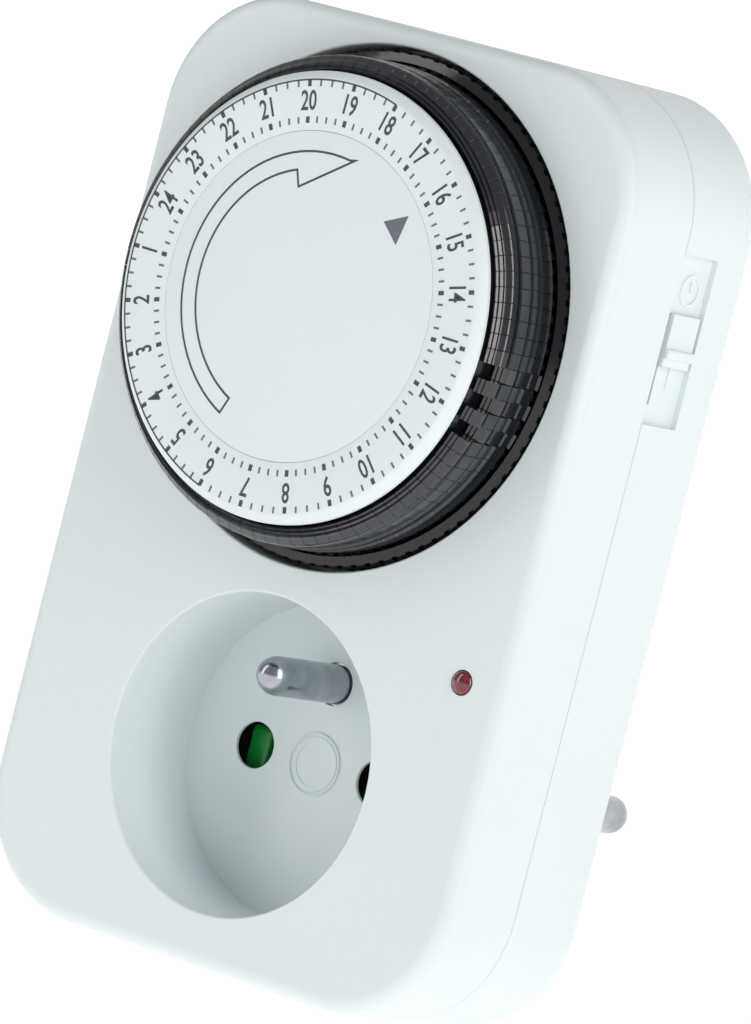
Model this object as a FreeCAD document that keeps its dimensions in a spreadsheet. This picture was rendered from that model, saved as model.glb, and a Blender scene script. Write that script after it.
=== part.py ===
import FreeCAD, Part
import Sketcher
import math
import os
import re

# Plug in timer switch with a mechanical day dial, a grounded socket and a plug on its back.
# Millimetres. X runs to the right, Y from the front to the wall, and Z up.
# The origin is on the housing's rear face, in the middle of the plug's root.
# Every piece is drawn with Y = 0 on the housing's front face and is then brought forward by the case's depth.

SIZES = (
    # housing
    ("side_room", 3.0),
    ("top_room", 1.0),
    ("foot_room", 4.4),
    ("contact_room", 6.9),
    ("parting_depth", 13.0),
    ("corner_radius", 16.0),
    ("front_round", 2.0),
    ("back_round", 1.5),
    ("seam_bevel", 0.3),
    ("wall", 2.2),
    ("screw_inset", 8.5),
    ("screw_rise", 7.5),
    ("screw_sink", 8.5),
    ("screw_radius", 1.3),
    ("screw_head_radius", 2.7),
    ("front_boss_radius", 3.0),
    ("rear_boss_radius", 4.2),
    # dial well in the front cover
    ("well_wall", 1.4),
    ("well_play", 0.5),
    ("well_gap", 0.4),
    ("well_ledge", 6.6),
    ("well_depth", 6.2),
    ("well_floor", 1.2),
    # dial
    ("dial_rest_angle", 103.6),
    ("face_front", 10.8),
    ("face_bevel", 1.0),
    ("disc_radius", 19.7),
    ("disc_thickness", 1.2),
    ("disc_gap", 0.25),
    ("ring_radius", 27.0),
    ("ring_overhang", 0.1),
    ("ring_thickness", 1.5),
    ("drum_wall", 1.55),
    ("drum_plate", 1.6),
    ("hub_radius", 7.0),
    ("hub_back", 3.0),
    ("post_radius", 4.05),
    ("post_bore", 2.95),
    ("post_foot", 3.0),
    ("running_gap", 0.05),
    ("channel_play", 0.4),
    ("flange_width", 1.4),
    ("channel_floor", 2.6),
    ("floor_thickness", 0.8),
    ("flange_front", 0.2),
    ("flange_slope", 0.5),
    ("skirt_back", 4.4),
    ("skirt_wall", 0.9),
    ("notch_width", 1.0),
    ("notch_front", 2.2),
    # tappets
    ("tappet_count", 96),
    ("tappet_angle", 3.6),
    ("tappet_gap", 0.3),
    ("tappet_depth", 2.1),
    ("tappet_top", 8.9),
    ("tappet_back", 0.1),
    ("tappet_groove", 0.5),
    ("tappet_ridge", 0.2),
    ("tappet_travel", 2.5),
    ("foot_width", 0.7),
    ("foot_inset", 0.6),
    ("foot_depth", 1.4),
    ("foot_back", 3.0),
    # teeth, in modules
    ("tooth_play", 0.18),
    ("tooth_addendum", 0.75),
    ("tooth_dedendum", 1.05),
    # ring gear and drive pinion
    ("dial_teeth", 70),
    ("gear_rim", 0.115),
    ("pinion_teeth", 10),
    ("dial_gear_front", 1.0),
    ("pinion_front", 0.6),
    ("pinion_back", 2.8),
    # gear train
    ("train_module", 0.625),
    ("wheel_teeth", 36),
    ("leaf_teeth", 8),
    ("train_lean", 30.0),
    ("wheel_width", 1.1),
    ("train_room", 1.2),
    ("layer_pitch", 1.45),
    ("wheel_hub_radius", 1.9),
    ("arbor_radius", 0.75),
    ("shaft_radius", 1.2),
    ("shaft_end_radius", 0.9),
    # gear plates
    ("plate_thickness", 1.2),
    ("plate_margin", 9.0),
    ("plate_lug", 2.7),
    ("plate_gap", 1.5),
    ("plate_play", 0.6),
    ("screw_ledge", 5.8),
    ("plate_high", 22.0),
    ("plate_corner", 4.0),
    ("motor_plate_thickness", 1.0),
    ("pillar_radius", 1.6),
    ("pillar_inset", 3.5),
    ("module_screw_up", 13.2),
    # motor
    ("stator_radius", 14.0),
    ("stator_room", 0.4),
    ("stator_wall", 0.9),
    ("bobbin_radius", 12.8),
    ("bobbin_bore", 7.0),
    ("bobbin_core", 8.0),
    ("bobbin_flange", 0.8),
    ("winding_radius", 12.4),
    ("rotor_radius", 6.2),
    ("rotor_room", 0.8),
    ("rotor_play", 0.4),
    ("rotor_arbor_radius", 0.6),
    # socket in the front
    ("socket_radius", 19.5),
    ("socket_depth", 15.2),
    ("socket_tube_wall", 2.1),
    ("seat_step", 0.7),
    ("seat_gap", 0.1),
    ("socket_plate", 2.2),
    ("contact_spacing", 19.0),
    ("hole_radius", 2.85),
    ("medal_radius", 3.6),
    ("medal_height", 0.25),
    ("earth_offset", 10.0),
    ("pin_radius", 2.4),
    ("pin_seat", 0.2),
    ("earth_pin_tip", 0.8),
    ("nose_length", 3.0),
    ("earth_collar_radius", 3.4),
    ("earth_shank_radius", 1.9),
    # shutter
    ("shutter_pad_width", 6.4),
    ("shutter_play", 0.5),
    ("shutter_gap", 0.3),
    ("shutter_height", 6.4),
    ("shutter_neck", 3.2),
    ("shutter_travel", 6.1),
    ("guide_gap", 0.15),
    ("guide_width", 1.0),
    # plug on the back
    ("boss_length", 21.0),
    ("boss_play", 0.2),
    ("boss_wall", 2.2),
    ("boss_end", 2.5),
    ("boss_round", 0.8),
    ("clip_slot_width", 6.0),
    ("plug_pin_length", 19.0),
    ("pin_collar_radius", 3.5),
    ("pin_collar_length", 7.0),
    ("sleeve_reach", 5.0),
    ("strap_reach", 9.5),
    ("block_reach", 8.5),
    ("clip_reach", 6.5),
    ("earth_hole_radius", 3.0),
    ("sleeve_bore", 2.45),
    ("sleeve_radius", 3.2),
    ("sleeve_bottom", 1.5),
    ("strap_thickness", 0.6),
    ("strap_width", 5.0),
    # contact block and contacts
    ("block_gap", 0.3),
    ("cavity_half", 4.3),
    ("clip_half", 3.0),
    ("clip_thickness", 0.5),
    ("clip_gap", 0.05),
    ("bar_thickness", 0.6),
    ("bar_room", 3.4),
    ("bar_pitch", 1.5),
    ("block_rise", 0.5),
    ("clip_sink", 0.7),
    ("bar_half", 2.0),
    # switch
    ("switch_width", 4.0),
    ("switch_inset", 11.0),
    ("base_reach_left", 5.5),
    ("base_reach_right", 6.5),
    ("base_low", 20.0),
    ("base_high", 26.5),
    ("base_front", 14.8),
    ("ear_width", 1.7),
    ("ear_high", 31.2),
    ("ear_front", 10.2),
    ("lever_depth", 12.5),
    ("lever_height", 29.0),
    ("lever_boss_radius", 2.2),
    ("lever_boss_width", 5.0),
    ("lever_pin_radius", 0.8),
    ("lever_nose_front", 3.8),
    ("nose_half", 1.0),
    ("blade_depth", 16.4),
    ("blade_thickness", 0.4),
    ("blade_curl", 0.5),
    ("bump_gap", 0.45),
    ("blade_high", 45.0),
    ("blade_lift", 0.3),
    ("rivet_height", 43.0),
    ("rivet_radius", 1.4),
    ("rivet_thickness", 0.8),
    ("contact_opening", 1.8),
    # override slider in the right side
    ("recess_low", 50.5),
    ("recess_high", 71.1),
    ("recess_width", 6.8),
    ("recess_depth", 0.8),
    ("slot_high", 63.9),
    ("slot_width", 1.3),
    ("knob_low", 57.6),
    ("knob_high", 64.0),
    ("knob_width", 6.2),
    ("knob_thickness", 0.6),
    ("ridge_low", 58.6),
    ("ridge_high", 59.8),
    ("ridge_height", 0.5),
    ("stem_low", 58.2),
    ("slide_gap", 0.15),
    ("override_travel", 5.2),
    ("bridge_drop", 6.6),
    ("slide_bar_thickness", 1.6),
    ("slide_bar_back", 19.0),
    ("bridge_thickness", 0.5),
    ("terminal_high", 50.6),
    ("terminal_low", 39.0),
    # indicator
    ("lamp_height", 16.2),
    ("lens_radius", 1.5),
    ("lamp_inset", 6.7),
    ("lens_gap", 0.05),
    ("lens_front", 0.6),
    ("lens_flange_radius", 2.3),
    ("lens_flange", 1.2),
    ("lamp_radius", 2.0),
    ("lamp_length", 8.2),
    ("resistor_radius", 1.1),
    ("resistor_length", 6.0),
    ("lead_radius", 0.3),
)

# Sizes and places that follow from the ones above. The housing is sized round its dial and its socket.
TIES = {
    "boss_radius": "socket_radius - boss_play",
    "drum_radius": "ring_radius - ring_overhang",
    "channel_radius": "drum_radius + tappet_gap + tappet_depth + channel_play",
    "flange_radius": "channel_radius + flange_width",
    "well_radius": "flange_radius + well_play",
    "well_eye_radius": "well_radius - well_ledge",
    "dial_height": "socket_radius + socket_tube_wall + well_gap + well_wall + well_radius",
    "case_width": "2 * (well_radius + well_wall + side_room)",
    "case_top": "dial_height + well_radius + well_wall + top_room",
    "case_bottom": "socket_radius + socket_tube_wall + foot_room",
    "case_depth": "socket_depth + socket_plate + contact_room + wall",
    "screw_across": "case_width / 2 - screw_inset",
    "screw_low": "case_bottom - screw_rise",
    "screw_high": "case_top - screw_rise",
    "screw_head_depth": "case_depth - screw_sink",
    "dial_module": "(drum_radius - drum_wall - gear_rim) / (dial_teeth / 2 + tooth_dedendum)",
    "clutch_reach": "dial_module * (dial_teeth - pinion_teeth) / 2",
    "clutch_layer": "well_depth + well_floor + plate_thickness + train_room",
    "middle_layer": "clutch_layer + layer_pitch",
    "first_layer": "middle_layer + layer_pitch",
    "motor_plate_front": "first_layer + wheel_width + plate_play",
    "module_screw_across": "well_radius - screw_ledge",
    "plate_left": "module_screw_across + plate_lug",
    "plate_right": "base_left - plate_gap",
    "plate_low": "clutch_reach + plate_margin",
    "stator_back": "case_depth - wall - stator_room",
    "rotor_front": "motor_plate_front + motor_plate_thickness + rotor_room",
    "rotor_back": "stator_back - stator_wall - rotor_play",
    "shutter_front": "socket_depth + socket_plate + shutter_play",
    "shutter_thickness": "block_front - shutter_gap - shutter_front",
    "load_bar_front": "case_depth - wall - bar_room",
    "line_bar_front": "load_bar_front + bar_pitch",
    "block_front": "load_bar_front - block_rise",
    "clip_front": "load_bar_front + clip_sink",
    "sleeve_front": "case_depth + sleeve_reach",
    "strap_front": "case_depth + strap_reach",
    "block_back": "case_depth + block_reach",
    "clip_back": "case_depth + clip_reach",
    "switch_across": "case_width / 2 - switch_inset",
    "base_left": "switch_across - base_reach_left",
    "base_right": "switch_across + base_reach_right",
    "foot_middle": "drum_radius + tappet_gap + foot_inset + foot_depth / 2",
    "nose_height": "dial_height - sqrt(foot_middle ^ 2 - switch_across ^ 2)",
    "slot_low": "stem_low - override_travel - slide_gap",
    "bridge_low": "stem_low - bridge_drop",
    "lamp_across": "case_width / 2 - lamp_inset",
}

doc = FreeCAD.newDocument("timer_switch")
sheet = doc.addObject("Spreadsheet::Sheet", "Sizes")
for row, (alias, amount) in enumerate(SIZES, start=1):
    sheet.set("A%d" % row, alias)
    sheet.set("B%d" % row, str(amount))
    sheet.setAlias("B%d" % row, alias)
doc.recompute()
ALIASES = {alias for alias, amount in SIZES}
FULL_TURN = 360.0
pieces = []


def formula(text):
    """Turns a formula in the words of the sheet and the ties into one that the document can bind."""
    def meaning(found):
        word = found.group(0)
        if word in TIES:
            return "(%s)" % formula(TIES[word])
        return "Sizes." + word if word in ALIASES else word

    return re.sub(r"[a-z][a-z_]+", meaning, str(text))


def number(text):
    """Works out a formula's present value."""
    return float(sheet.evalExpression(formula(text)))


def bind(thing, prop, text):
    """Ties one property to the sheet."""
    thing.setExpression(prop, formula(text))


def place(thing, across="0", depth="0", height="0"):
    """Sets a finished piece at its spot, with the housing's rear face on the origin."""
    bind(thing, "Placement.Base.x", across)
    bind(thing, "Placement.Base.y", "(%s) - case_depth" % depth)
    bind(thing, "Placement.Base.z", height)
    thing.Label = thing.Name
    pieces.append(thing)
    return thing


# Sketches and features of a body

def plane(body, role):
    """Finds one of the body's own origin planes or axes."""
    return [item for item in body.Origin.OriginFeatures if item.Role == role][0]


def sketch(body, name, role, depth="0"):
    """Starts a sketch on a plane of the body. On the front plane, depth is how far behind it."""
    made = body.newObject("Sketcher::SketchObject", name)
    made.AttachmentSupport = [(plane(body, role), "")]
    made.MapMode = "FlatFace"
    bind(made, "AttachmentOffset.Base.z", "-(%s)" % depth)
    return made


def front_sketch(body, name, depth="0"):
    """A sketch that is seen from the front: its x runs across and its y runs up."""
    return sketch(body, name, "XZ_Plane", depth)


def pin_down(made, kind, geometry, point, text):
    """Holds one coordinate of a sketch's point at a formula's value."""
    spot = made.addConstraint(Sketcher.Constraint(kind, -1, 1, geometry, point, number(text)))
    made.setExpression("Constraints[%d]" % spot, formula(text))


def polygon(made, corners):
    """Draws a closed outline through corners, each a pair of formulas."""
    spots = [FreeCAD.Vector(number(across), number(up), 0) for across, up in corners]
    first = made.GeometryCount
    count = len(spots)
    for index in range(count):
        made.addGeometry(Part.LineSegment(spots[index], spots[(index + 1) % count]))
    for index in range(count):
        following = first + (index + 1) % count
        made.addConstraint(Sketcher.Constraint("Coincident", first + index, 2, following, 1))
    for index, (across, up) in enumerate(corners):
        pin_down(made, "DistanceX", first + index, 1, across)
        pin_down(made, "DistanceY", first + index, 1, up)


def rectangle(made, left, right, low, high):
    """Draws an upright rectangle."""
    polygon(made, ((left, low), (right, low), (right, high), (left, high)))


def circle(made, across, up, radius):
    """Draws a circle whose centre and radius are formulas."""
    centre = FreeCAD.Vector(number(across), number(up), 0)
    spot = made.addGeometry(Part.Circle(centre, FreeCAD.Vector(0, 0, 1), number(radius)))
    pin_down(made, "DistanceX", spot, 3, across)
    pin_down(made, "DistanceY", spot, 3, up)
    size = made.addConstraint(Sketcher.Constraint("Radius", spot, number(radius)))
    made.setExpression("Constraints[%d]" % size, formula(radius))


def checked(body, feature, sign):
    """Recomputes and makes sure that a feature added (1) or removed (-1) material."""
    before = body.Tip.Shape.Volume if body.Tip and body.Tip != feature else 0.0
    base = feature.BaseFeature
    before = base.Shape.Volume if base else before
    doc.recompute()
    change = feature.Shape.Volume - before
    if sign * change <= 0:
        raise RuntimeError("%s changes its body's volume by %.3f" % (feature.Name, change))
    return feature


def pad(body, outline, name, length):
    """Raises an outline towards the back by a length."""
    made = body.newObject("PartDesign::Pad", name)
    made.Profile = outline
    made.Reversed = True
    bind(made, "Length", length)
    return checked(body, made, 1)


def pocket(body, outline, name, length):
    """Cuts an outline towards the back by a length."""
    made = body.newObject("PartDesign::Pocket", name)
    made.Profile = outline
    bind(made, "Length", length)
    return checked(body, made, -1)


def turned(name, corners):
    """A body turned about its Y axis from corners of (radius, depth)."""
    body = doc.addObject("PartDesign::Body", name)
    outline = sketch(body, name + "_outline", "XY_Plane")
    polygon(outline, corners)
    made = body.newObject("PartDesign::Revolution", name + "_turned")
    made.Profile = outline
    made.ReferenceAxis = (outline, ["V_Axis"])
    made.Angle = FULL_TURN
    checked(body, made, 1)
    return body


def rounded(body, name, radius, choose):
    """Rounds the edges of the body's last feature that a test picks."""
    base = body.Tip
    names = ["Edge%d" % (index + 1) for index, edge in enumerate(base.Shape.Edges) if choose(edge)]
    made = body.newObject("PartDesign::Fillet", name)
    made.Base = (base, names)
    bind(made, "Radius", radius)
    doc.recompute()
    return made


def bevelled(body, name, size, choose):
    """Bevels the edges of the body's last feature that a test picks."""
    base = body.Tip
    names = ["Edge%d" % (index + 1) for index, edge in enumerate(base.Shape.Edges) if choose(edge)]
    made = body.newObject("PartDesign::Chamfer", name)
    made.Base = (base, names)
    bind(made, "Size", size)
    doc.recompute()
    return made


def at_depth(edge, depth):
    """Says whether an edge lies wholly at one depth."""
    box = edge.BoundBox
    return abs(box.YMin - depth) < 1e-4 and abs(box.YMax - depth) < 1e-4


def along_depth(edge):
    """Says whether an edge runs straight from front to back."""
    box = edge.BoundBox
    return box.XLength < 1e-4 and box.ZLength < 1e-4


# Solids from primitives

def block(name, left, right, front, back, low, high):
    """A box between formulas along X, Y and Z."""
    made = doc.addObject("Part::Box", name)
    bind(made, "Length", "(%s) - (%s)" % (right, left))
    bind(made, "Width", "(%s) - (%s)" % (back, front))
    bind(made, "Height", "(%s) - (%s)" % (high, low))
    bind(made, "Placement.Base.x", left)
    bind(made, "Placement.Base.y", front)
    bind(made, "Placement.Base.z", low)
    return made


def placed_block(name, left, right, front, back, low, high):
    """A box that is a finished piece."""
    return place(block(name, left, right, front, back, low, high), across=left, depth=front, height=low)


def rod(name, radius, front, back, across="0", height="0"):
    """A round rod that runs from front to back."""
    made = doc.addObject("Part::Cylinder", name)
    made.Placement = FreeCAD.Placement(FreeCAD.Vector(), FreeCAD.Rotation(FreeCAD.Vector(1, 0, 0), -90))
    bind(made, "Radius", radius)
    bind(made, "Height", "(%s) - (%s)" % (back, front))
    bind(made, "Placement.Base.x", across)
    bind(made, "Placement.Base.y", front)
    bind(made, "Placement.Base.z", height)
    return made


def cross_rod(name, radius, left, right, depth, height):
    """A round rod that runs from left to right."""
    made = doc.addObject("Part::Cylinder", name)
    made.Placement = FreeCAD.Placement(FreeCAD.Vector(), FreeCAD.Rotation(FreeCAD.Vector(0, 1, 0), 90))
    bind(made, "Radius", radius)
    bind(made, "Height", "(%s) - (%s)" % (right, left))
    bind(made, "Placement.Base.x", left)
    bind(made, "Placement.Base.y", depth)
    bind(made, "Placement.Base.z", height)
    return made


def fused(name, shapes):
    """Joins shapes into one."""
    made = doc.addObject("Part::MultiFuse", name)
    made.Shapes = shapes
    made.Refine = True
    return made


def less(name, base, tools):
    """Takes shapes away from a base."""
    tool = tools[0] if len(tools) == 1 else fused(name + "_tools", tools)
    made = doc.addObject("Part::Cut", name)
    made.Base = base
    made.Tool = tool
    made.Refine = True
    return made


# Gears

PRESSURE_ANGLE = math.radians(20.0)
FACING_DOWN = math.radians(-90.0)


def involute(angle):
    """The involute function."""
    return math.tan(angle) - angle


def gear_outline(module, teeth, addendum, dedendum, play, start, depth):
    """A closed wire round a gear: each tooth has three points a flank. start is a tooth's bearing."""
    pitch = module * teeth / 2.0
    base = pitch * math.cos(PRESSURE_ANGLE)
    half = (math.pi / 2.0 - play / module) / teeth
    spots = []
    for tooth in range(teeth):
        middle = start + tooth * 2.0 * math.pi / teeth
        for side in (-1, 1):
            radii = (pitch - dedendum, pitch, pitch + addendum)
            for radius in radii if side < 0 else reversed(radii):
                reach = max(radius, base)
                lean = half + involute(PRESSURE_ANGLE) - involute(math.acos(base / reach))
                bearing = middle + side * max(lean, 0.02)
                spots.append(FreeCAD.Vector(radius * math.cos(bearing), depth, radius * math.sin(bearing)))
    return Part.makePolygon(spots + spots[:1])


def gear(name, outer, front, back, bore=None):
    """A gear's rim between two depths, from its outline."""
    face = Part.Face(outer)
    solid = face.extrude(FreeCAD.Vector(0, back - front, 0))
    if bore:
        hole = Part.makeCylinder(bore, back - front, FreeCAD.Vector(0, front, 0), FreeCAD.Vector(0, 1, 0))
        solid = solid.cut(hole)
    made = doc.addObject("Part::Feature", name)
    made.Shape = solid
    return made


TOOTH_PLAY = number("tooth_play")
ADDENDUM = number("tooth_addendum")
DEDENDUM = number("tooth_dedendum")


def spur(name, module, teeth, start_degrees, front, back):
    """A spur gear's teeth with a solid middle."""
    start = math.radians(start_degrees)
    outline = gear_outline(module, teeth, ADDENDUM * module, DEDENDUM * module, TOOTH_PLAY, start, front)
    return gear(name, outline, front, back)


# Housing

def case_outline(body, name, depth, inset="0"):
    """A sketch of the housing's upright outline, moved in by a formula."""
    made = front_sketch(body, name, depth)
    half = "case_width / 2 - (%s)" % inset
    rectangle(made, "-(%s)" % half, half, "-(case_bottom - (%s))" % inset, "case_top - (%s)" % inset)
    return made


def corners_rounded(body, name, radius, inset):
    """Rounds the four upright corners of the outline that was raised last."""
    half = number("case_width / 2") - inset
    low = -number("case_bottom") + inset
    high = number("case_top") - inset

    def is_corner(edge):
        box = edge.BoundBox
        across = abs(abs(box.XMin) - half) < 1e-4
        return along_depth(edge) and across and min(abs(box.ZMin - low), abs(box.ZMin - high)) < 1e-4

    return rounded(body, name, radius, is_corner)


SCREW_SPOTS = (
    ("low_left", "-screw_across", "-screw_low"),
    ("low_right", "screw_across", "-screw_low"),
    ("high_left", "-screw_across", "screw_high"),
    ("high_right", "screw_across", "screw_high"),
)


def cavity(body, name, depth, length):
    """Hollows the housing with an outline that keeps its wall, corners included."""
    made = front_sketch(body, name, depth)
    half = number("case_width / 2 - wall")
    low = number("wall - case_bottom")
    high = number("case_top - wall")
    radius = number("corner_radius - wall")
    start = made.GeometryCount
    centres = ((half - radius, low + radius, -90), (half - radius, high - radius, 0),
               (radius - half, high - radius, 90), (radius - half, low + radius, 180))
    upright = FreeCAD.Vector(0, 0, 1)
    for across, up, bearing in centres:
        ring = Part.Circle(FreeCAD.Vector(across, up, 0), upright, radius)
        made.addGeometry(Part.ArcOfCircle(ring, math.radians(bearing), math.radians(bearing + 90)))
    for index in range(4):
        following = (index + 1) % 4
        ends = (made.getPoint(start + index, 2), made.getPoint(start + following, 1))
        made.addGeometry(Part.LineSegment(*ends))
        line = start + 4 + index
        made.addConstraint(Sketcher.Constraint("Tangent", start + index, 2, line, 1))
        made.addConstraint(Sketcher.Constraint("Tangent", line, 2, start + following, 1))
    for index, (across, up) in enumerate((
            ("case_width / 2 - corner_radius", "corner_radius - case_bottom"),
            ("case_width / 2 - corner_radius", "case_top - corner_radius"),
            ("corner_radius - case_width / 2", "case_top - corner_radius"),
            ("corner_radius - case_width / 2", "corner_radius - case_bottom"))):
        pin_down(made, "DistanceX", start + index, 3, across)
        pin_down(made, "DistanceY", start + index, 3, up)
    size = made.addConstraint(Sketcher.Constraint("Radius", start, radius))
    made.setExpression("Constraints[%d]" % size, formula("corner_radius - wall"))
    return pocket(body, made, name + "_cut", length)


def make_front_cover():
    """The front cover: a dished shell with the dial's well, the socket's tube and four screw bosses."""
    body = doc.addObject("PartDesign::Body", "front_cover")
    pad(body, case_outline(body, "front_outline", "0"), "front_slab", "parting_depth")
    corners_rounded(body, "front_corners", "corner_radius", 0.0)
    rounded(body, "front_edge", "front_round", lambda edge: at_depth(edge, 0.0))
    seam = number("parting_depth")
    bevelled(body, "front_seam", "seam_bevel", lambda edge: at_depth(edge, seam))
    cavity(body, "front_cavity", "wall", "parting_depth - wall")
    half_wall = "wall / 2"
    well = front_sketch(body, "well_rim", half_wall)
    circle(well, "0", "dial_height", "well_radius + well_wall")
    pad(body, well, "well_drum", "well_depth + well_floor - wall / 2")
    tube = front_sketch(body, "socket_rim", half_wall)
    circle(tube, "0", "0", "socket_radius + socket_tube_wall")
    pad(body, tube, "socket_tube", "socket_depth + socket_plate - wall / 2")
    for spot, across, up in SCREW_SPOTS:
        boss = front_sketch(body, "boss_" + spot, half_wall)
        circle(boss, across, up, "front_boss_radius")
        pad(body, boss, "front_boss_" + spot, "parting_depth - wall / 2")
    hollow = front_sketch(body, "well_hollow")
    circle(hollow, "0", "dial_height", "well_radius")
    pocket(body, hollow, "well_cut", "well_depth")
    eye = front_sketch(body, "well_eye", half_wall)
    circle(eye, "0", "dial_height", "well_eye_radius")
    pocket(body, eye, "well_eye_cut", "well_depth + well_floor")
    mouth = front_sketch(body, "socket_mouth")
    circle(mouth, "0", "0", "socket_radius")
    pocket(body, mouth, "socket_cut", "socket_depth + socket_plate")
    seat = front_sketch(body, "plate_seat", "socket_depth")
    circle(seat, "0", "0", "socket_radius + seat_step")
    pocket(body, seat, "seat_cut", "socket_plate")
    window = front_sketch(body, "nose_window", "well_depth - 0.5")
    rectangle(window, "switch_across - 2 * nose_half", "switch_across + 2 * nose_half",
              "nose_height - 2 * nose_half", "nose_height + 3.4 * nose_half")
    pocket(body, window, "nose_window_cut", "well_floor + 1")
    for side in (-1, 1):
        hole = front_sketch(body, "module_pilot_" + ("low" if side < 0 else "high"), "well_depth - 0.5")
        circle(hole, "-module_screw_across", "dial_height + %d * module_screw_up" % side, "screw_radius")
        pocket(body, hole, hole.Name + "_cut", "well_floor + 1")
    eyelet = front_sketch(body, "lens_hole")
    circle(eyelet, "lamp_across", "lamp_height", "lens_radius + lens_gap")
    pocket(body, eyelet, "lens_hole_cut", "wall")
    for spot, across, up in SCREW_SPOTS:
        hole = front_sketch(body, "pilot_" + spot, "wall + 1.5")
        circle(hole, across, up, "screw_radius")
        pocket(body, hole, "pilot_cut_" + spot, "parting_depth - wall - 1.5")
    rim = number("socket_radius")
    bevelled(body, "mouth_bevel", "seam_bevel",
             lambda edge: at_depth(edge, 0.0) and abs(edge.BoundBox.XLength - 2 * rim) < 1e-3)
    return place(body)


def make_rear_cover():
    """The rear cover: a dished shell with the plug's boss, sunk screw holes and the slider's recess."""
    body = doc.addObject("PartDesign::Body", "rear_cover")
    depth = "case_depth - parting_depth"
    pad(body, case_outline(body, "rear_outline", "parting_depth"), "rear_slab", depth)
    corners_rounded(body, "rear_corners", "corner_radius", 0.0)
    back = number("case_depth")
    seam = number("parting_depth")
    rounded(body, "rear_edge", "back_round", lambda edge: at_depth(edge, back))
    bevelled(body, "rear_seam", "seam_bevel", lambda edge: at_depth(edge, seam))
    cavity(body, "rear_cavity", "parting_depth", depth + " - wall")
    boss = front_sketch(body, "plug_round", "case_depth - wall / 2")
    circle(boss, "0", "0", "boss_radius")
    pad(body, boss, "plug_boss", "boss_length + wall / 2")
    end = number("case_depth + boss_length")
    rounded(body, "boss_edge", "boss_round", lambda edge: at_depth(edge, end))
    for spot, across, up in SCREW_SPOTS:
        pillar = front_sketch(body, "pillar_" + spot, "parting_depth")
        circle(pillar, across, up, "rear_boss_radius")
        pad(body, pillar, "rear_boss_" + spot, depth + " - wall / 2")
    inside = front_sketch(body, "plug_inside", "case_depth - wall - 0.5")
    circle(inside, "0", "0", "boss_radius - boss_wall")
    pocket(body, inside, "plug_hollow", "boss_length + wall + 0.5 - boss_end")
    for side in ("-", ""):
        name = "pin_hole_left" if side else "pin_hole_right"
        hole = front_sketch(body, name, "case_depth + boss_length - boss_end - 0.5")
        circle(hole, side + "contact_spacing / 2", "0", "pin_radius + pin_seat + running_gap")
        pocket(body, hole, hole.Name + "_cut", "boss_end + 1")
    earth = front_sketch(body, "earth_hole", "case_depth + boss_length - boss_end - 0.5")
    circle(earth, "0", "earth_offset", "earth_hole_radius")
    pocket(body, earth, "earth_hole_cut", "boss_end + 1")
    slots = front_sketch(body, "clip_slots", "strap_front - 5.4")
    slot_half = "clip_slot_width / 2"
    rectangle(slots, "-" + slot_half, slot_half, "boss_radius - boss_wall - 1", "boss_radius + 1")
    rectangle(slots, "-" + slot_half, slot_half, "-boss_radius - 1", "boss_wall + 1 - boss_radius")
    pocket(body, slots, "clip_slots_cut", "13.5")
    for spot, across, up in SCREW_SPOTS:
        sink = front_sketch(body, "sink_" + spot, "screw_head_depth")
        circle(sink, across, up, "screw_head_radius + 0.2")
        pocket(body, sink, "sink_cut_" + spot, "case_depth - screw_head_depth + 1")
        hole = front_sketch(body, "shank_" + spot, "parting_depth - 0.5")
        circle(hole, across, up, "screw_radius + 0.2")
        pocket(body, hole, "shank_cut_" + spot, "screw_head_depth - parting_depth + 1")
    recess = front_sketch(body, "slider_recess", "parting_depth - 0.5")
    rectangle(recess, "case_width / 2 - recess_depth", "case_width / 2 + 1", "recess_low", "recess_high")
    pocket(body, recess, "slider_recess_cut", "recess_width + 0.5")
    slot = front_sketch(body, "slider_slot", "parting_depth - 0.5")
    rectangle(slot, "case_width / 2 - wall - 1", "case_width / 2 + 1", "slot_low", "slot_high")
    pocket(body, slot, "slider_slot_cut", "slot_width + 0.5")
    return place(body)


def make_case_screws():
    """Four countersunk housing screws, one node of separate solids."""
    screws = []
    for spot, across, up in SCREW_SPOTS:
        head = rod("screw_head_" + spot, "screw_head_radius", "screw_head_depth", "screw_head_depth + 2.2",
                   across, up)
        shank = rod("screw_shank_" + spot, "screw_radius - 0.05", "wall + 3", "screw_head_depth", across,
                    up)
        slit = block("screw_slit_" + spot, "(%s) - 2" % across, "(%s) + 2" % across,
                     "screw_head_depth + 1.4", "screw_head_depth + 3", "(%s) - 0.35" % up,
                     "(%s) + 0.35" % up)
        cross = block("screw_cross_" + spot, "(%s) - 0.35" % across, "(%s) + 0.35" % across,
                      "screw_head_depth + 1.4", "screw_head_depth + 3", "(%s) - 2" % up, "(%s) + 2" % up)
        screws.append(less("screw_" + spot, fused("screw_blank_" + spot, [head, shank]), [slit, cross]))
    group = doc.addObject("Part::Compound", "case_screws")
    group.Links = screws
    return place(group)


# Socket

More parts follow.
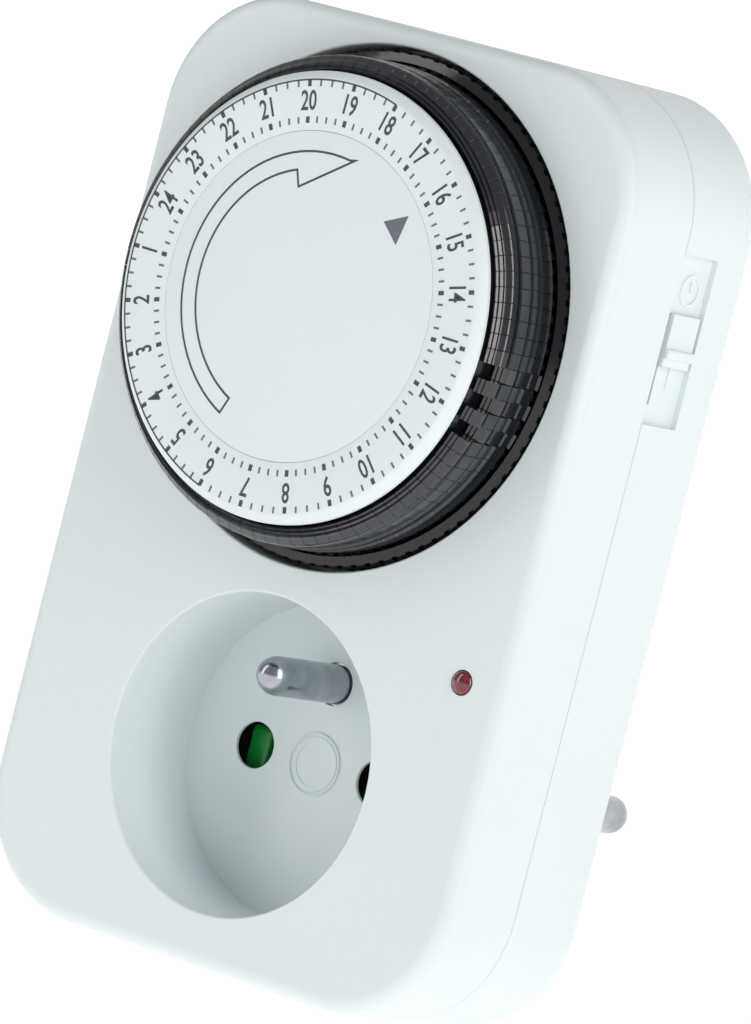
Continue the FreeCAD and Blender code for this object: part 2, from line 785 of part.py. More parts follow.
def make_socket_plate():
    """The socket's floor: a disc with two contact holes, the earth pin's hole and a bare round medal."""
    body = doc.addObject("PartDesign::Body", "socket_plate")
    disc = front_sketch(body, "plate_round", "socket_depth")
    circle(disc, "0", "0", "socket_radius + seat_step - seat_gap")
    pad(body, disc, "plate_disc", "socket_plate")
    guides = front_sketch(body, "shutter_guides", "socket_depth + socket_plate / 2")
    near = "shutter_height / 2 + guide_gap"
    reach = "contact_spacing / 2 + shutter_pad_width / 2 + shutter_travel - guide_width"
    for low, high in ((near, near + " + guide_width"), ("-(%s) - guide_width" % near, "-(%s)" % near)):
        rectangle(guides, "-(%s)" % reach, reach, low, high)
    pad(body, guides, "guide_ribs", "shutter_front + shutter_thickness - socket_depth - socket_plate / 2")
    medal = front_sketch(body, "medal_round", "socket_depth - medal_height")
    circle(medal, "0", "0", "medal_radius")
    pad(body, medal, "medal_pad", "socket_plate / 2")
    dish = front_sketch(body, "medal_dish", "socket_depth - medal_height")
    circle(dish, "0", "0", "medal_radius - medal_height")
    pocket(body, dish, "medal_dish_cut", "medal_height / 2")
    for side in ("-", ""):
        hole = front_sketch(body, "contact_hole_" + ("left" if side else "right"), "socket_depth - 0.5")
        circle(hole, side + "contact_spacing / 2", "0", "hole_radius")
        pocket(body, hole, hole.Name + "_cut", "socket_plate + 1")
    earth = front_sketch(body, "earth_seat", "socket_depth - 0.5")
    circle(earth, "0", "earth_offset", "pin_radius + pin_seat + running_gap")
    pocket(body, earth, "earth_seat_cut", "socket_plate + 1")
    return place(body)


def make_earth_pin():
    """The socket's earth pin: a bullet nose, a collar behind the floor and a thinner shank."""
    tip = "earth_pin_tip"
    nose = "earth_pin_tip + nose_length"
    floor = "socket_depth + socket_plate"
    corners = [("0", tip)]
    for step in range(1, 6):
        lean = step * 18.0
        corners.append(("pin_radius * %.6f" % math.sin(math.radians(lean)),
                        "%s - nose_length * %.6f" % (nose, math.cos(math.radians(lean)))))
    corners += [("pin_radius", "socket_depth"), ("pin_radius + pin_seat", "socket_depth"),
                ("pin_radius + pin_seat", floor), ("earth_collar_radius", floor),
                ("earth_collar_radius", floor + " + 0.8"), ("earth_shank_radius", floor + " + 0.8"),
                ("earth_shank_radius", "sleeve_front"), ("0", "sleeve_front")]
    return place(turned("earth_pin", corners), height="earth_offset")


def make_shutter():
    """The socket's sliding safety shutter: two round-ended pads on a bar that clears the earth pin."""
    body = doc.addObject("PartDesign::Body", "safety_shutter")
    outline = front_sketch(body, "shutter_outline", "shutter_front")
    pad_half = "shutter_pad_width / 2"
    spacing = "contact_spacing / 2"
    rectangle(outline, "-(%s) - %s" % (spacing, pad_half), "-(%s) + %s" % (spacing, pad_half),
              "-shutter_height / 2", "shutter_height / 2")
    pad(body, outline, "left_pad", "shutter_thickness")
    other = front_sketch(body, "other_outline", "shutter_front")
    rectangle(other, "%s - %s" % (spacing, pad_half), "%s + %s" % (spacing, pad_half),
              "-shutter_height / 2", "shutter_height / 2")
    pad(body, other, "right_pad", "shutter_thickness")
    bar = front_sketch(body, "neck_outline", "shutter_front")
    rectangle(bar, "-(%s)" % spacing, spacing, "-shutter_height / 2", "shutter_neck - shutter_height / 2")
    pad(body, bar, "neck", "shutter_thickness")
    front = number("shutter_front")
    half = number("shutter_height / 2")
    reach = number("contact_spacing / 2 + shutter_pad_width / 2")

    def is_pad_corner(edge):
        box = edge.BoundBox
        return along_depth(edge) and abs(abs(box.XMin) - reach) < 1e-3 and abs(abs(box.ZMin) - half) < 1e-3

    rounded(body, "pad_corners", "shutter_pad_width / 3", is_pad_corner)
    bevelled(body, "pad_ramp", "shutter_thickness / 5", lambda edge: at_depth(edge, front))
    return place(body)


# Plug

def make_plug_pin(name, side):
    """One of the plug's pins, with a round nose and a collar that seats inside the boss."""
    inner = "case_depth + boss_length - boss_end"
    tip = "case_depth + boss_length + plug_pin_length"
    nose = "(%s) - nose_length * 0.8" % tip
    foot = "%s - pin_collar_length" % inner
    corners = [("0", foot), ("pin_collar_radius", foot),
               ("pin_collar_radius", inner), ("pin_radius + pin_seat", inner),
               ("pin_radius + pin_seat", inner + " + boss_end"), ("pin_radius", inner + " + boss_end")]
    for step in range(0, 6):
        lean = step * 18.0
        corners.append(("pin_radius * %.6f" % math.cos(math.radians(lean)),
                        "%s + nose_length * 0.8 * %.6f" % (nose, math.sin(math.radians(lean)))))
    corners[-1] = ("0", tip)
    return place(turned(name, corners), across=side + "contact_spacing / 2")


def make_earth_sleeve():
    """The sleeve in the plug that takes the wall socket's earth pin."""
    end = "case_depth + boss_length - boss_end"
    corners = (("0", "sleeve_front"), ("sleeve_radius", "sleeve_front"), ("sleeve_radius", end),
               ("sleeve_bore", end), ("sleeve_bore", "sleeve_front + sleeve_bottom"),
               ("0", "sleeve_front + sleeve_bottom"))
    return place(turned("earth_sleeve", corners), height="earth_offset")


def make_earth_strap():
    """The earth strap: a cross strip round the sleeve with a spring contact at the plug's top and bottom."""
    strip = block("strap_strip", "-strap_width / 2", "strap_width / 2", "strap_front",
                  "strap_front + strap_thickness", "boss_wall - boss_radius", "boss_radius - boss_wall")
    eye = rod("strap_eye", "sleeve_radius + clip_gap", "strap_front - 1", "strap_front + 2", "0",
              "earth_offset")
    ends = []
    for side, low, high in (("top", "boss_radius - boss_wall - 0.2", "boss_radius - boss_wall + 0.4"),
                            ("bottom", "-(boss_radius - boss_wall + 0.4)",
                             "-(boss_radius - boss_wall - 0.2)")):
        ends.append(block("strap_leg_" + side, "-strap_width / 2", "strap_width / 2",
                          "strap_front - 4.8", "strap_front + 7.6", low, high))
    crowns = []
    for side, low, high in (("top", "boss_radius - boss_wall + 0.4", "boss_radius - 0.4"),
                            ("bottom", "0.4 - boss_radius", "-(boss_radius - boss_wall + 0.4)")):
        crowns.append(block("strap_crown_" + side, "-strap_width / 2", "strap_width / 2",
                            "strap_front - 2.4", "strap_front + 5.2", low, high))
    ring = rod("strap_ring", "sleeve_radius + 1.6", "strap_front", "strap_front + strap_thickness",
               "0", "earth_offset")
    whole = fused("strap_whole", [strip, ring] + ends + crowns)
    return place(less("earth_strap", whole, [eye]))


# Contacts

def make_contact_block():
    """The insulating block in the plug's boss that holds the socket's two contact clips."""
    drum = rod("block_drum", "boss_radius - boss_wall - block_gap", "block_front", "block_back")
    cuts = []
    for side in ("-", ""):
        name = "left" if side else "right"
        middle = side + "contact_spacing / 2"
        cuts.append(block("clip_cavity_" + name, "(%s) - cavity_half" % middle,
                          "(%s) + cavity_half" % middle,
                          "block_front - 1", "block_back + 1", "-cavity_half", "cavity_half"))
    cuts.append(rod("shank_way", "sleeve_radius + 0.1", "block_front - 1", "block_back + 1", "0",
                    "earth_offset"))
    cuts.append(block("bar_way", "contact_spacing / 2 + cavity_half - 1", "boss_radius",
                      "block_front - 1", "line_bar_front + 1", "-bar_half - 0.4", "bar_half + 0.4"))
    cuts.append(block("strip_way", "contact_spacing / 2 + cavity_half + 0.4",
                      "contact_spacing / 2 + cavity_half + 2",
                      "block_front - 1", "block_back + 1", "-bar_half - 0.4", "bar_half + 0.4"))
    return place(less("contact_block", drum, cuts))


def make_clip(name, side):
    """A socket contact: two spring blades on a base strip."""
    middle = side + "contact_spacing / 2"
    inner = "(pin_radius + clip_gap)"
    blades = []
    for hand, sign in (("near", -1), ("far", 1)):
        close = "(%s) + %d * %s" % (middle, sign, inner)
        wide = "(%s) + %d * (%s + clip_thickness)" % (middle, sign, inner)
        left, right = (wide, close) if sign < 0 else (close, wide)
        blades.append(block("%s_%s" % (name, hand), left, right, "clip_front", "clip_back", "-clip_half",
                            "clip_half"))
    base = block(name + "_base", "(%s) - %s - clip_thickness" % (middle, inner),
                 "(%s) + %s + clip_thickness" % (middle, inner),
                 "clip_back - clip_thickness", "clip_back", "-clip_half", "clip_half")
    return place(fused(name, blades + [base]))


def make_bars():
    """The brass bars: neutral link, line bar to the switch and load bar back to the socket."""
    collar_front = "case_depth + boss_length - boss_end - pin_collar_length"
    placed_block("neutral_link", "-contact_spacing / 2 - bar_half", "bar_half - contact_spacing / 2",
                 "clip_back", collar_front, "-bar_thickness / 2", "bar_thickness / 2")
    strip_left = "contact_spacing / 2 + cavity_half + 0.8"
    strip_right = strip_left + " + bar_thickness"
    riser_left = "base_left + 5"
    parts = [
        block("line_tab", "contact_spacing / 2 - bar_half", strip_right,
              collar_front + " - bar_thickness", collar_front, "-bar_half", "bar_half"),
        block("line_strip", strip_left, strip_right, "line_bar_front", collar_front, "-bar_half",
              "bar_half"),
        block("line_run", strip_left, riser_left + " + 2 * bar_half", "line_bar_front",
              "line_bar_front + bar_thickness", "-bar_half", "bar_half"),
        block("line_riser", riser_left, riser_left + " + 2 * bar_half", "line_bar_front",
              "line_bar_front + bar_thickness", "-bar_half", "base_low"),
    ]
    place(fused("line_bar", parts))
    clip_side = "contact_spacing / 2 + pin_radius + clip_gap"
    parts = [
        block("load_foot", clip_side, clip_side + " + clip_thickness", "load_bar_front", "clip_front",
              "-bar_half", "bar_half"),
        block("load_run", clip_side, "base_left + 2.5", "load_bar_front",
              "load_bar_front + bar_thickness", "-bar_half", "bar_half"),
        block("load_riser", "base_left", "base_left + 2.5", "load_bar_front",
              "load_bar_front + bar_thickness", "-bar_half", "base_low"),
    ]
    place(fused("load_bar", parts))


# Switch

def make_switch():
    """The switch: a base with two ears, a sensing lever on its pin, a moving blade and a fixed contact."""
    foot = block("base_foot", "base_left", "base_right", "base_front", "case_depth - wall", "base_low",
                 "base_high")
    inner = "switch_across - lever_boss_width / 2 - 0.2"
    outer = "switch_across + lever_boss_width / 2 + 0.2"
    ears = []
    for side, left, right in (("left", inner + " - ear_width", inner),
                              ("right", outer, outer + " + ear_width")):
        ears.append(block("ear_" + side, left, right, "ear_front", "base_front + 1.4", "base_high - 2",
                          "ear_high"))
    hole = cross_rod("ear_hole", "lever_pin_radius", "base_left", "base_right + 2", "lever_depth",
                     "lever_height")
    place(less("switch_base", fused("base_whole", [foot] + ears), [hole]))
    place(cross_rod("lever_pin", "lever_pin_radius", inner + " - ear_width", outer + " + ear_width",
                    "lever_depth", "lever_height"), depth="lever_depth", across=inner + " - ear_width",
          height="lever_height")
    boss = cross_rod("lever_boss", "lever_boss_radius", "switch_across - lever_boss_width / 2",
                     "switch_across + lever_boss_width / 2", "lever_depth", "lever_height")
    arm = block("lever_arm", "switch_across - nose_half", "switch_across + nose_half",
                "lever_depth - 3", "lever_depth - 1", "lever_height", "nose_height + nose_half")
    nose = block("lever_nose", "switch_across - nose_half", "switch_across + nose_half",
                 "lever_nose_front", "lever_depth - 2", "nose_height - nose_half",
                 "nose_height + nose_half")
    bump = block("lever_bump", "switch_across - nose_half", "switch_across + nose_half",
                 "lever_depth - 2", "blade_depth - bump_gap", "lever_height + 7.4", "lever_height + 8.6")
    bore = cross_rod("lever_bore", "lever_pin_radius + running_gap", "switch_across - lever_boss_width",
                     "switch_across + lever_boss_width", "lever_depth", "lever_height")
    place(less("sensing_lever", fused("lever_whole", [boss, arm, nose, bump]), [bore]))
    left = "switch_across - switch_width / 2"
    right = "switch_across + switch_width / 2"
    foot = "base_high + blade_lift + blade_curl"
    strip = block("blade_strip", left, right, "blade_depth", "blade_depth + blade_thickness", foot,
                  "blade_high")
    curl = cross_rod("blade_foot", "blade_curl", left, right, "blade_depth + blade_thickness / 2", foot)
    rivet = rod("blade_rivet", "rivet_radius", "blade_depth + blade_thickness / 2",
                "blade_depth + blade_thickness + rivet_thickness", "switch_across", "rivet_height")
    place(fused("contact_blade", [strip, curl, rivet]))
    face = "blade_depth + blade_thickness + rivet_thickness + contact_opening"
    strip = block("fixed_strip", left, right, face + " + rivet_thickness",
                  face + " + rivet_thickness + blade_thickness", "base_high", "blade_high")
    rivet = rod("fixed_rivet", "rivet_radius", face, face + " + rivet_thickness + blade_thickness / 2",
                "switch_across", "rivet_height")
    place(fused("fixed_contact", [strip, rivet]))


# Override slider

def make_override():
    """The side slider: a ribbed knob in the recess, a stem through the slot and a bar that carries a bridge."""
    out = "case_width / 2"
    floor = out + " - recess_depth + slide_gap"
    knob = block("knob_plate", floor, floor + " + knob_thickness", "parting_depth + 0.2",
                 "parting_depth + 0.2 + knob_width", "knob_low", "knob_high")
    ridge = block("knob_ridge", floor, floor + " + knob_thickness + ridge_height", "parting_depth + 0.2",
                  "parting_depth + 0.2 + knob_width", "ridge_low", "ridge_high")
    stem = block("knob_stem", "case_width / 2 - wall - slide_gap - slide_bar_thickness",
                 floor + " + knob_thickness / 2",
                 "parting_depth + slide_gap", "parting_depth + slot_width - slide_gap", "stem_low",
                 "slot_high - slide_gap")
    bar_right = "case_width / 2 - wall - slide_gap"
    bar = block("slide_bar", bar_right + " - slide_bar_thickness", bar_right, "parting_depth + slide_gap",
                "slide_bar_back", "stem_low - 4", "slot_high - slide_gap")
    place(fused("override_slider", [knob, ridge, stem, bar]))
    bridge_right = bar_right + " - slide_bar_thickness"
    placed_block("override_bridge", bridge_right + " - bridge_thickness", bridge_right,
                 "parting_depth + 1", "slide_bar_back - 0.6", "bridge_low", "stem_low + 2")
    tongues = []
    for spot, front in (("front", "parting_depth + 1"), ("back", "slide_bar_back - 2.6")):
        tongues.append(block("terminal_" + spot,
                             bridge_right + " - bridge_thickness - 0.1 - blade_thickness",
                             bridge_right + " - bridge_thickness - 0.1", front, "(%s) + 2" % front,
                             "terminal_low", "terminal_high"))
    group = doc.addObject("Part::Compound", "override_contacts")
    group.Links = tongues
    place(group)
    placed_block("terminal_block", bridge_right + " - bridge_thickness - 0.1 - blade_thickness - 1.4",
                 bridge_right + " - bridge_thickness - 0.1 - blade_thickness", "parting_depth + 1",
                 "case_depth - wall", "terminal_low", "terminal_low + 5")


# Dial

def make_dial_post():
    """The fixed post that the dial turns on, with a bore for the centre disc's stem."""
    back = "well_depth + well_floor"
    front = "disc_thickness + 0.3 - face_front"
    corners = (("post_bore", front), ("post_radius", front), ("post_radius", back), ("post_foot", back),
               ("post_foot", back + " + plate_thickness"), ("0", back + " + plate_thickness"),
               ("0", front + " + 4"), ("post_bore", front + " + 4"))
    return place(turned("dial_post", corners), height="dial_height")


def make_centre_disc():
    """The fixed disc in the middle of the dial, on a stem that snaps into the post."""
    back = "disc_thickness - face_front"
    corners = (("0", "-face_front"), ("disc_radius - 0.3", "-face_front"),
               ("disc_radius", "0.3 - face_front"),
               ("disc_radius", back), ("post_bore - running_gap", back),
               ("post_bore - running_gap", back + " + 3.8"), ("0", back + " + 3.8"))
    return place(turned("centre_disc", corners), height="dial_height")


def make_number_ring():
    """The white ring that carries the hours, with a bevelled rim."""
    back = "ring_thickness - face_front"
    corners = (("disc_radius + disc_gap", "-face_front"), ("ring_radius - face_bevel", "-face_front"),
               ("ring_radius", "face_bevel - face_front"), ("ring_radius", back),
               ("disc_radius + disc_gap", back))
    return place(turned("number_ring", corners), height="dial_height")


def make_dial_carrier():
    """The dial's black drum: hub, plate, tappet channel, a notched skirt and an internal gear."""
    plate_front = "ring_thickness - face_front"
    plate_back = plate_front + " + drum_plate"
    inside = "drum_radius - drum_wall"
    floor_back = "channel_floor + floor_thickness"
    bore = "post_radius + running_gap"
    corners = ((bore, plate_front), ("drum_radius", plate_front), ("drum_radius", "channel_floor"),
               ("channel_radius", "channel_floor"), ("channel_radius", "flange_front"),
               ("flange_radius", "flange_front + flange_slope"), ("flange_radius", "skirt_back"),
               ("flange_radius - skirt_wall", "skirt_back"), ("flange_radius - skirt_wall", floor_back),
               (inside, floor_back), (inside, plate_back), ("hub_radius", plate_back),
               ("hub_radius", "hub_back"),
               (bore, "hub_back"))
    body = turned("dial_drum", corners)
    notch = front_sketch(body, "notch_outline", "notch_front")
    rectangle(notch, "drum_radius + foot_inset", "flange_radius + 0.5", "-notch_width / 2",
              "notch_width / 2")
    pocket(body, notch, "notch", "skirt_back - notch_front + 0.5")
    ring = body.newObject("PartDesign::PolarPattern", "notch_ring")
    ring.Originals = [body.getObject("notch")]
    ring.Axis = (plane(body, "Y_Axis"), [""])
    ring.Angle = FULL_TURN
    bind(ring, "Occurrences", "tappet_count")
    body.Tip = ring
    body.Placement = FreeCAD.Placement(FreeCAD.Vector(),
                                       FreeCAD.Rotation(FreeCAD.Vector(0, 1, 0), -hour_bearing(0)))
    doc.recompute()
    return body


def hour_bearing(hour):
    """An hour's bearing on the dial in degrees, anticlockwise from the right, seen from the front."""
    return number("dial_rest_angle") + (hour - 20.0) * 15.0


def make_ring_gear():
    """The dial's internal gear, cut inside a plain ring. A space faces the drive pinion."""
    module = number("dial_module")
    teeth = int(number("dial_teeth"))
    front = -number("dial_gear_front")
    back = number("channel_floor + floor_thickness")
    outline = gear_outline(module, teeth, DEDENDUM * module, ADDENDUM * module, -TOOTH_PLAY, FACING_DOWN,
                           front)
    hole = Part.Face(outline).extrude(FreeCAD.Vector(0, back - front, 0))
    axis = FreeCAD.Vector(0, 1, 0)
    rim = Part.makeCylinder(number("drum_radius - drum_wall / 2"), back - front,
                            FreeCAD.Vector(0, front, 0), axis)
    made = doc.addObject("Part::Feature", "ring_gear")
    made.Shape = rim.cut(hole)
    return made


def make_dial():
    """The dial's turning drum as one moulding."""
    return place(fused("dial_carrier", [make_dial_carrier(), make_ring_gear()]), height="dial_height")


def tappet_corners():
    """A tappet's section as (radius, depth), from its ribbed top down to its heel."""
    inner = "drum_radius + tappet_gap"
    outer = inner + " + tappet_depth"
    top = "-tappet_top"
    return ((inner, top), (outer + " - 0.3", top + " + 1"), (outer, top + " + 1.9"),
            (outer + " - tappet_groove", top + " + 2.1"), (outer + " - tappet_groove", top + " + 2.6"),
            (outer, top + " + 2.8"), (outer, "-4.3"), (outer + " - tappet_groove / 2", "-4.1"),
            (outer + " + tappet_ridge", "-3.7"), (outer + " + tappet_ridge", "-tappet_back"),
            (inner, "-tappet_back"))


def make_tappet(name, hour, pushed):
    """One tappet: a narrow wedge of the ring with a foot, at its hour, pushed in or not."""
    body = doc.addObject("PartDesign::Body", name)
    outline = sketch(body, name + "_outline", "XY_Plane")
    polygon(outline, tappet_corners())
    head = body.newObject("PartDesign::Revolution", name + "_head")
    head.Profile = outline
    head.ReferenceAxis = (outline, ["V_Axis"])
    head.Midplane = True
    bind(head, "Angle", "tappet_angle")
    checked(body, head, 1)
    foot = front_sketch(body, name + "_foot_outline", "-tappet_back - 0.4")
    inner = "drum_radius + tappet_gap + foot_inset"
    rectangle(foot, inner, inner + " + foot_depth", "-foot_width / 2", "foot_width / 2")
    pad(body, foot, name + "_foot", "foot_back + tappet_back + 0.4")
    turn = FreeCAD.Rotation(FreeCAD.Vector(0, 1, 0), -hour_bearing(hour))
    body.Placement = FreeCAD.Placement(FreeCAD.Vector(), turn)
    place(body, depth="tappet_travel" if pushed else "0", height="dial_height")
    return body


QUARTER = 0.25
LOOSE_TAPPETS = (
    ("tappet_1145", 11.75, True),
    ("tappet_1200", 12.0, False),
    ("tappet_1215", 12.25, True),
    ("tappet_1230", 12.5, False),
    ("tappet_1245", 12.75, True),
)


def make_tappets():
    """The five loose tappets at noon, and the ring of the others in one node of separate solids."""
    for name, hour, pushed in LOOSE_TAPPETS:
        model = make_tappet(name, hour, pushed)
    doc.recompute()
    raised = [body for body in pieces if body.Name == "tappet_1200"][0]
    axis = FreeCAD.Vector(0, 1, 0)
    shape = raised.Tip.Shape
    taken = {round(hour / QUARTER) for name, hour, pushed in LOOSE_TAPPETS}
    copies = []
    for index in range(int(number("tappet_count"))):
        if index in taken or index + int(number("tappet_count")) in taken:
            continue
        copy = shape.copy()
        copy.Placement = FreeCAD.Placement()
        copy.rotate(FreeCAD.Vector(), axis, -hour_bearing(index * QUARTER))
        copies.append(copy)
    ring = doc.addObject("Part::Feature", "tappets_up")
    ring.Shape = Part.makeCompound(copies)
    place(ring, height="dial_height")


# Gear train

def axis_spots():
    """Each axis of the train as (across, height) from the dial's centre: clutch, wheels and rotor."""
    reach = "clutch_reach"
    gap = "train_module * (wheel_teeth + leaf_teeth) / 2"
    along = "(%s) * cos(train_lean)" % gap
    up = "(%s) * sin(train_lean)" % gap
    return {
        "clutch": ("0", "-(%s)" % reach),
        "second": ("-(%s)" % along, "(%s) - (%s)" % (up, reach)),
        "first": ("-(%s)" % along, "(%s) + (%s) - (%s)" % (up, gap, reach)),
        "rotor": ("0", "2 * (%s) + (%s) - (%s)" % (up, gap, reach)),
    }


def on_axis(thing, spot):
    """Places a piece on an axis of the train."""
    across, up = axis_spots()[spot]
    return place(thing, across=across, height="dial_height + (%s)" % up)


def mesh_start(teeth, bearing, driver_teeth, driver_start):
    """The bearing of a gear's first tooth, so that a space meets the driver's tooth on the line of centres."""
    driver_step = FULL_TURN / driver_teeth
    offset = (bearing - driver_start) / driver_step
    lead = (offset - math.floor(offset + 0.5)) * driver_step
    step = FULL_TURN / teeth
    return bearing + FULL_TURN / 2.0 + lead * driver_teeth / teeth + step / 2.0


def make_drive_pinion():
    """The drive pinion, on a shaft that runs in both plates and carries the slipping clutch."""
    front = -number("pinion_front")
    back = number("pinion_back")
    module = number("dial_module")
    teeth = spur("drive_teeth", module, int(number("pinion_teeth")), -90.0, front, back)
    shaft = rod("drive_shaft", "shaft_radius", "pinion_back - 0.4", "clutch_layer + wheel_width + 0.1")
    shoulder = rod("drive_shoulder", "shaft_radius + 0.5", "clutch_layer + wheel_width + 0.05",
                   "first_layer")
    end = rod("drive_end", "shaft_end_radius", "first_layer - 0.2",
              "motor_plate_front + motor_plate_thickness")
    collar = rod("drive_collar", "shaft_radius + 1", "well_depth + well_floor + plate_thickness + 0.1",
                 "well_depth + well_floor + plate_thickness + 0.4")
    return on_axis(fused("drive_pinion", [teeth, shaft, shoulder, end, collar]), "clutch")


def wheel_body(name, layer, start, leaf_layer=None, leaf_start=0.0, bore="arbor_radius + running_gap"):
    """A wheel with its hub, and a leaf pinion in another layer where it drives a further wheel."""
    module = number("train_module")
    width = number("wheel_width")
    front = number(layer)
    parts = [spur(name + "_rim", module, int(number("wheel_teeth")), start, front, front + width)]
    ends = [(front, layer)]
    if leaf_layer:
        leaf = number(leaf_layer)
        parts.append(spur(name + "_leaf", module, int(number("leaf_teeth")), leaf_start, leaf,
                          leaf + width))
        ends.append((leaf, leaf_layer))
        parts.append(rod(name + "_hub", "wheel_hub_radius", min(ends)[1] + " - 0.1",
                         max(ends)[1] + " + wheel_width"))
    tool = rod(name + "_bore", bore, "clutch_layer - 1", "first_layer + wheel_width + 1")
    return less(name, fused(name + "_whole", parts) if leaf_layer else parts[0], [tool])


def make_train():
    """The clutch wheel, two reduction wheels and their arbors, in mesh from the rotor down."""
    lean = number("train_lean")
    wheel_teeth = int(number("wheel_teeth"))
    leaf_teeth = int(number("leaf_teeth"))
    rotor_to_first = 180.0 + lean
    first_to_second = -90.0
    second_to_clutch = -lean
    rotor_start = rotor_to_first
    first_start = mesh_start(wheel_teeth, rotor_to_first, leaf_teeth, rotor_start)
    second_start = mesh_start(wheel_teeth, first_to_second, leaf_teeth, first_start)
    clutch_start = mesh_start(wheel_teeth, second_to_clutch, leaf_teeth, second_start)
    first = wheel_body("wheel_first", "first_layer", first_start, "middle_layer", first_start)
    on_axis(first, "first")
    second = wheel_body("wheel_second", "middle_layer", second_start, "clutch_layer", second_start)
    on_axis(second, "second")
    clutch = wheel_body("clutch_wheel", "clutch_layer", clutch_start, bore="shaft_radius + running_gap")
    on_axis(clutch, "clutch")
    collar_back = "well_depth + well_floor + plate_thickness + 0.4"
    corners = (("shaft_radius + running_gap", collar_back + " + 0.05"), ("4", "clutch_layer - 0.35"),
               ("4", "clutch_layer - 0.05"), ("shaft_radius + running_gap", collar_back + " + 0.35"))
    on_axis(turned("clutch_spring", corners), "clutch")
    return rotor_start


def make_arbors():
    """The two fixed arbors of the reduction wheels, one node of separate solids."""
    links = []
    for spot in ("first", "second"):
        across, up = axis_spots()[spot]
        links.append(rod("arbor_" + spot, "arbor_radius", "well_depth + well_floor",
                         "motor_plate_front + motor_plate_thickness", across, up))
    group = doc.addObject("Part::Compound", "gear_arbors")
    group.Links = links
    return place(group, height="dial_height")


PILLAR_SPOTS = (
    ("low_left", "pillar_inset - plate_left", "pillar_inset - plate_low"),
    ("low_right", "plate_right - pillar_inset", "pillar_inset - plate_low"),
    ("high_left", "pillar_inset - plate_left", "plate_high - pillar_inset"),
    ("high_right", "plate_right - pillar_inset", "plate_high - pillar_inset"),
)


def plate_blank(name, front, thickness):
    """A plate with rounded corners, drawn from the dial's centre."""
    body = doc.addObject("PartDesign::Body", name)
    outline = front_sketch(body, name + "_outline", front)
    rectangle(outline, "-plate_left", "plate_right", "-plate_low", "plate_high")
    pad(body, outline, name + "_slab", thickness)
    rounded(body, name + "_corners", "plate_corner", along_depth)
    return body


def plate_hole(body, name, spot, radius, front, length):
    """A round hole through a plate at a spot."""
    hole = front_sketch(body, name, front + " - 0.5")
    circle(hole, spot[0], spot[1], radius)
    pocket(body, hole, name + "_cut", length + " + 1")


def make_plates():
    """The two plates that carry the train, their pillars and the screws into the well's floor."""
    spots = axis_spots()
    front = "well_depth + well_floor"
    near = plate_blank("gear_plate", front, "plate_thickness")
    plate_hole(near, "post_way", ("0", "0"), "post_foot + running_gap", front, "plate_thickness")
    plate_hole(near, "shaft_way", spots["clutch"], "shaft_radius + running_gap", front, "plate_thickness")
    for spot in ("first", "second"):
        plate_hole(near, "near_arbor_" + spot, spots[spot], "arbor_radius", front, "plate_thickness")
    plate_hole(near, "near_rotor", spots["rotor"], "rotor_arbor_radius", front, "plate_thickness")
    for side in (-1, 1):
        spot = ("-module_screw_across", "%d * module_screw_up" % side)
        plate_hole(near, "near_screw_" + ("low" if side < 0 else "high"), spot, "screw_radius", front,
                   "plate_thickness")
    place(near, height="dial_height")
    far_front = "motor_plate_front"
    far = plate_blank("motor_plate", far_front, "motor_plate_thickness")
    plate_hole(far, "rotor_way", spots["rotor"], "train_module * (leaf_teeth / 2 + 1) + 0.4", far_front,
               "motor_plate_thickness")
    plate_hole(far, "far_shaft", spots["clutch"], "shaft_end_radius + running_gap", far_front,
               "motor_plate_thickness")
    for spot in ("first", "second"):
        plate_hole(far, "far_arbor_" + spot, spots[spot], "arbor_radius", far_front,
                   "motor_plate_thickness")
    place(far, height="dial_height")
    links = []
    for spot, across, up in PILLAR_SPOTS:
        links.append(rod("pillar_rod_" + spot, "pillar_radius", front + " + plate_thickness", far_front,
                         across, up))
    group = doc.addObject("Part::Compound", "plate_pillars")
    group.Links = links
    place(group, height="dial_height")
    links = []
    for side in (-1, 1):
        up = "%d * module_screw_up" % side
        name = "low" if side < 0 else "high"
        head = rod("module_head_" + name, "screw_radius + 0.9", front + " + plate_thickness",
                   front + " + plate_thickness + 0.9", "-module_screw_across", up)
        shank = rod("module_shank_" + name, "screw_radius - 0.05", "well_depth + 0.1",
                    front + " + plate_thickness",
                    "-module_screw_across", up)
        links.append(fused("module_screw_" + name, [head, shank]))
    group = doc.addObject("Part::Compound", "module_screws")
    group.Links = links
    place(group, height="dial_height")


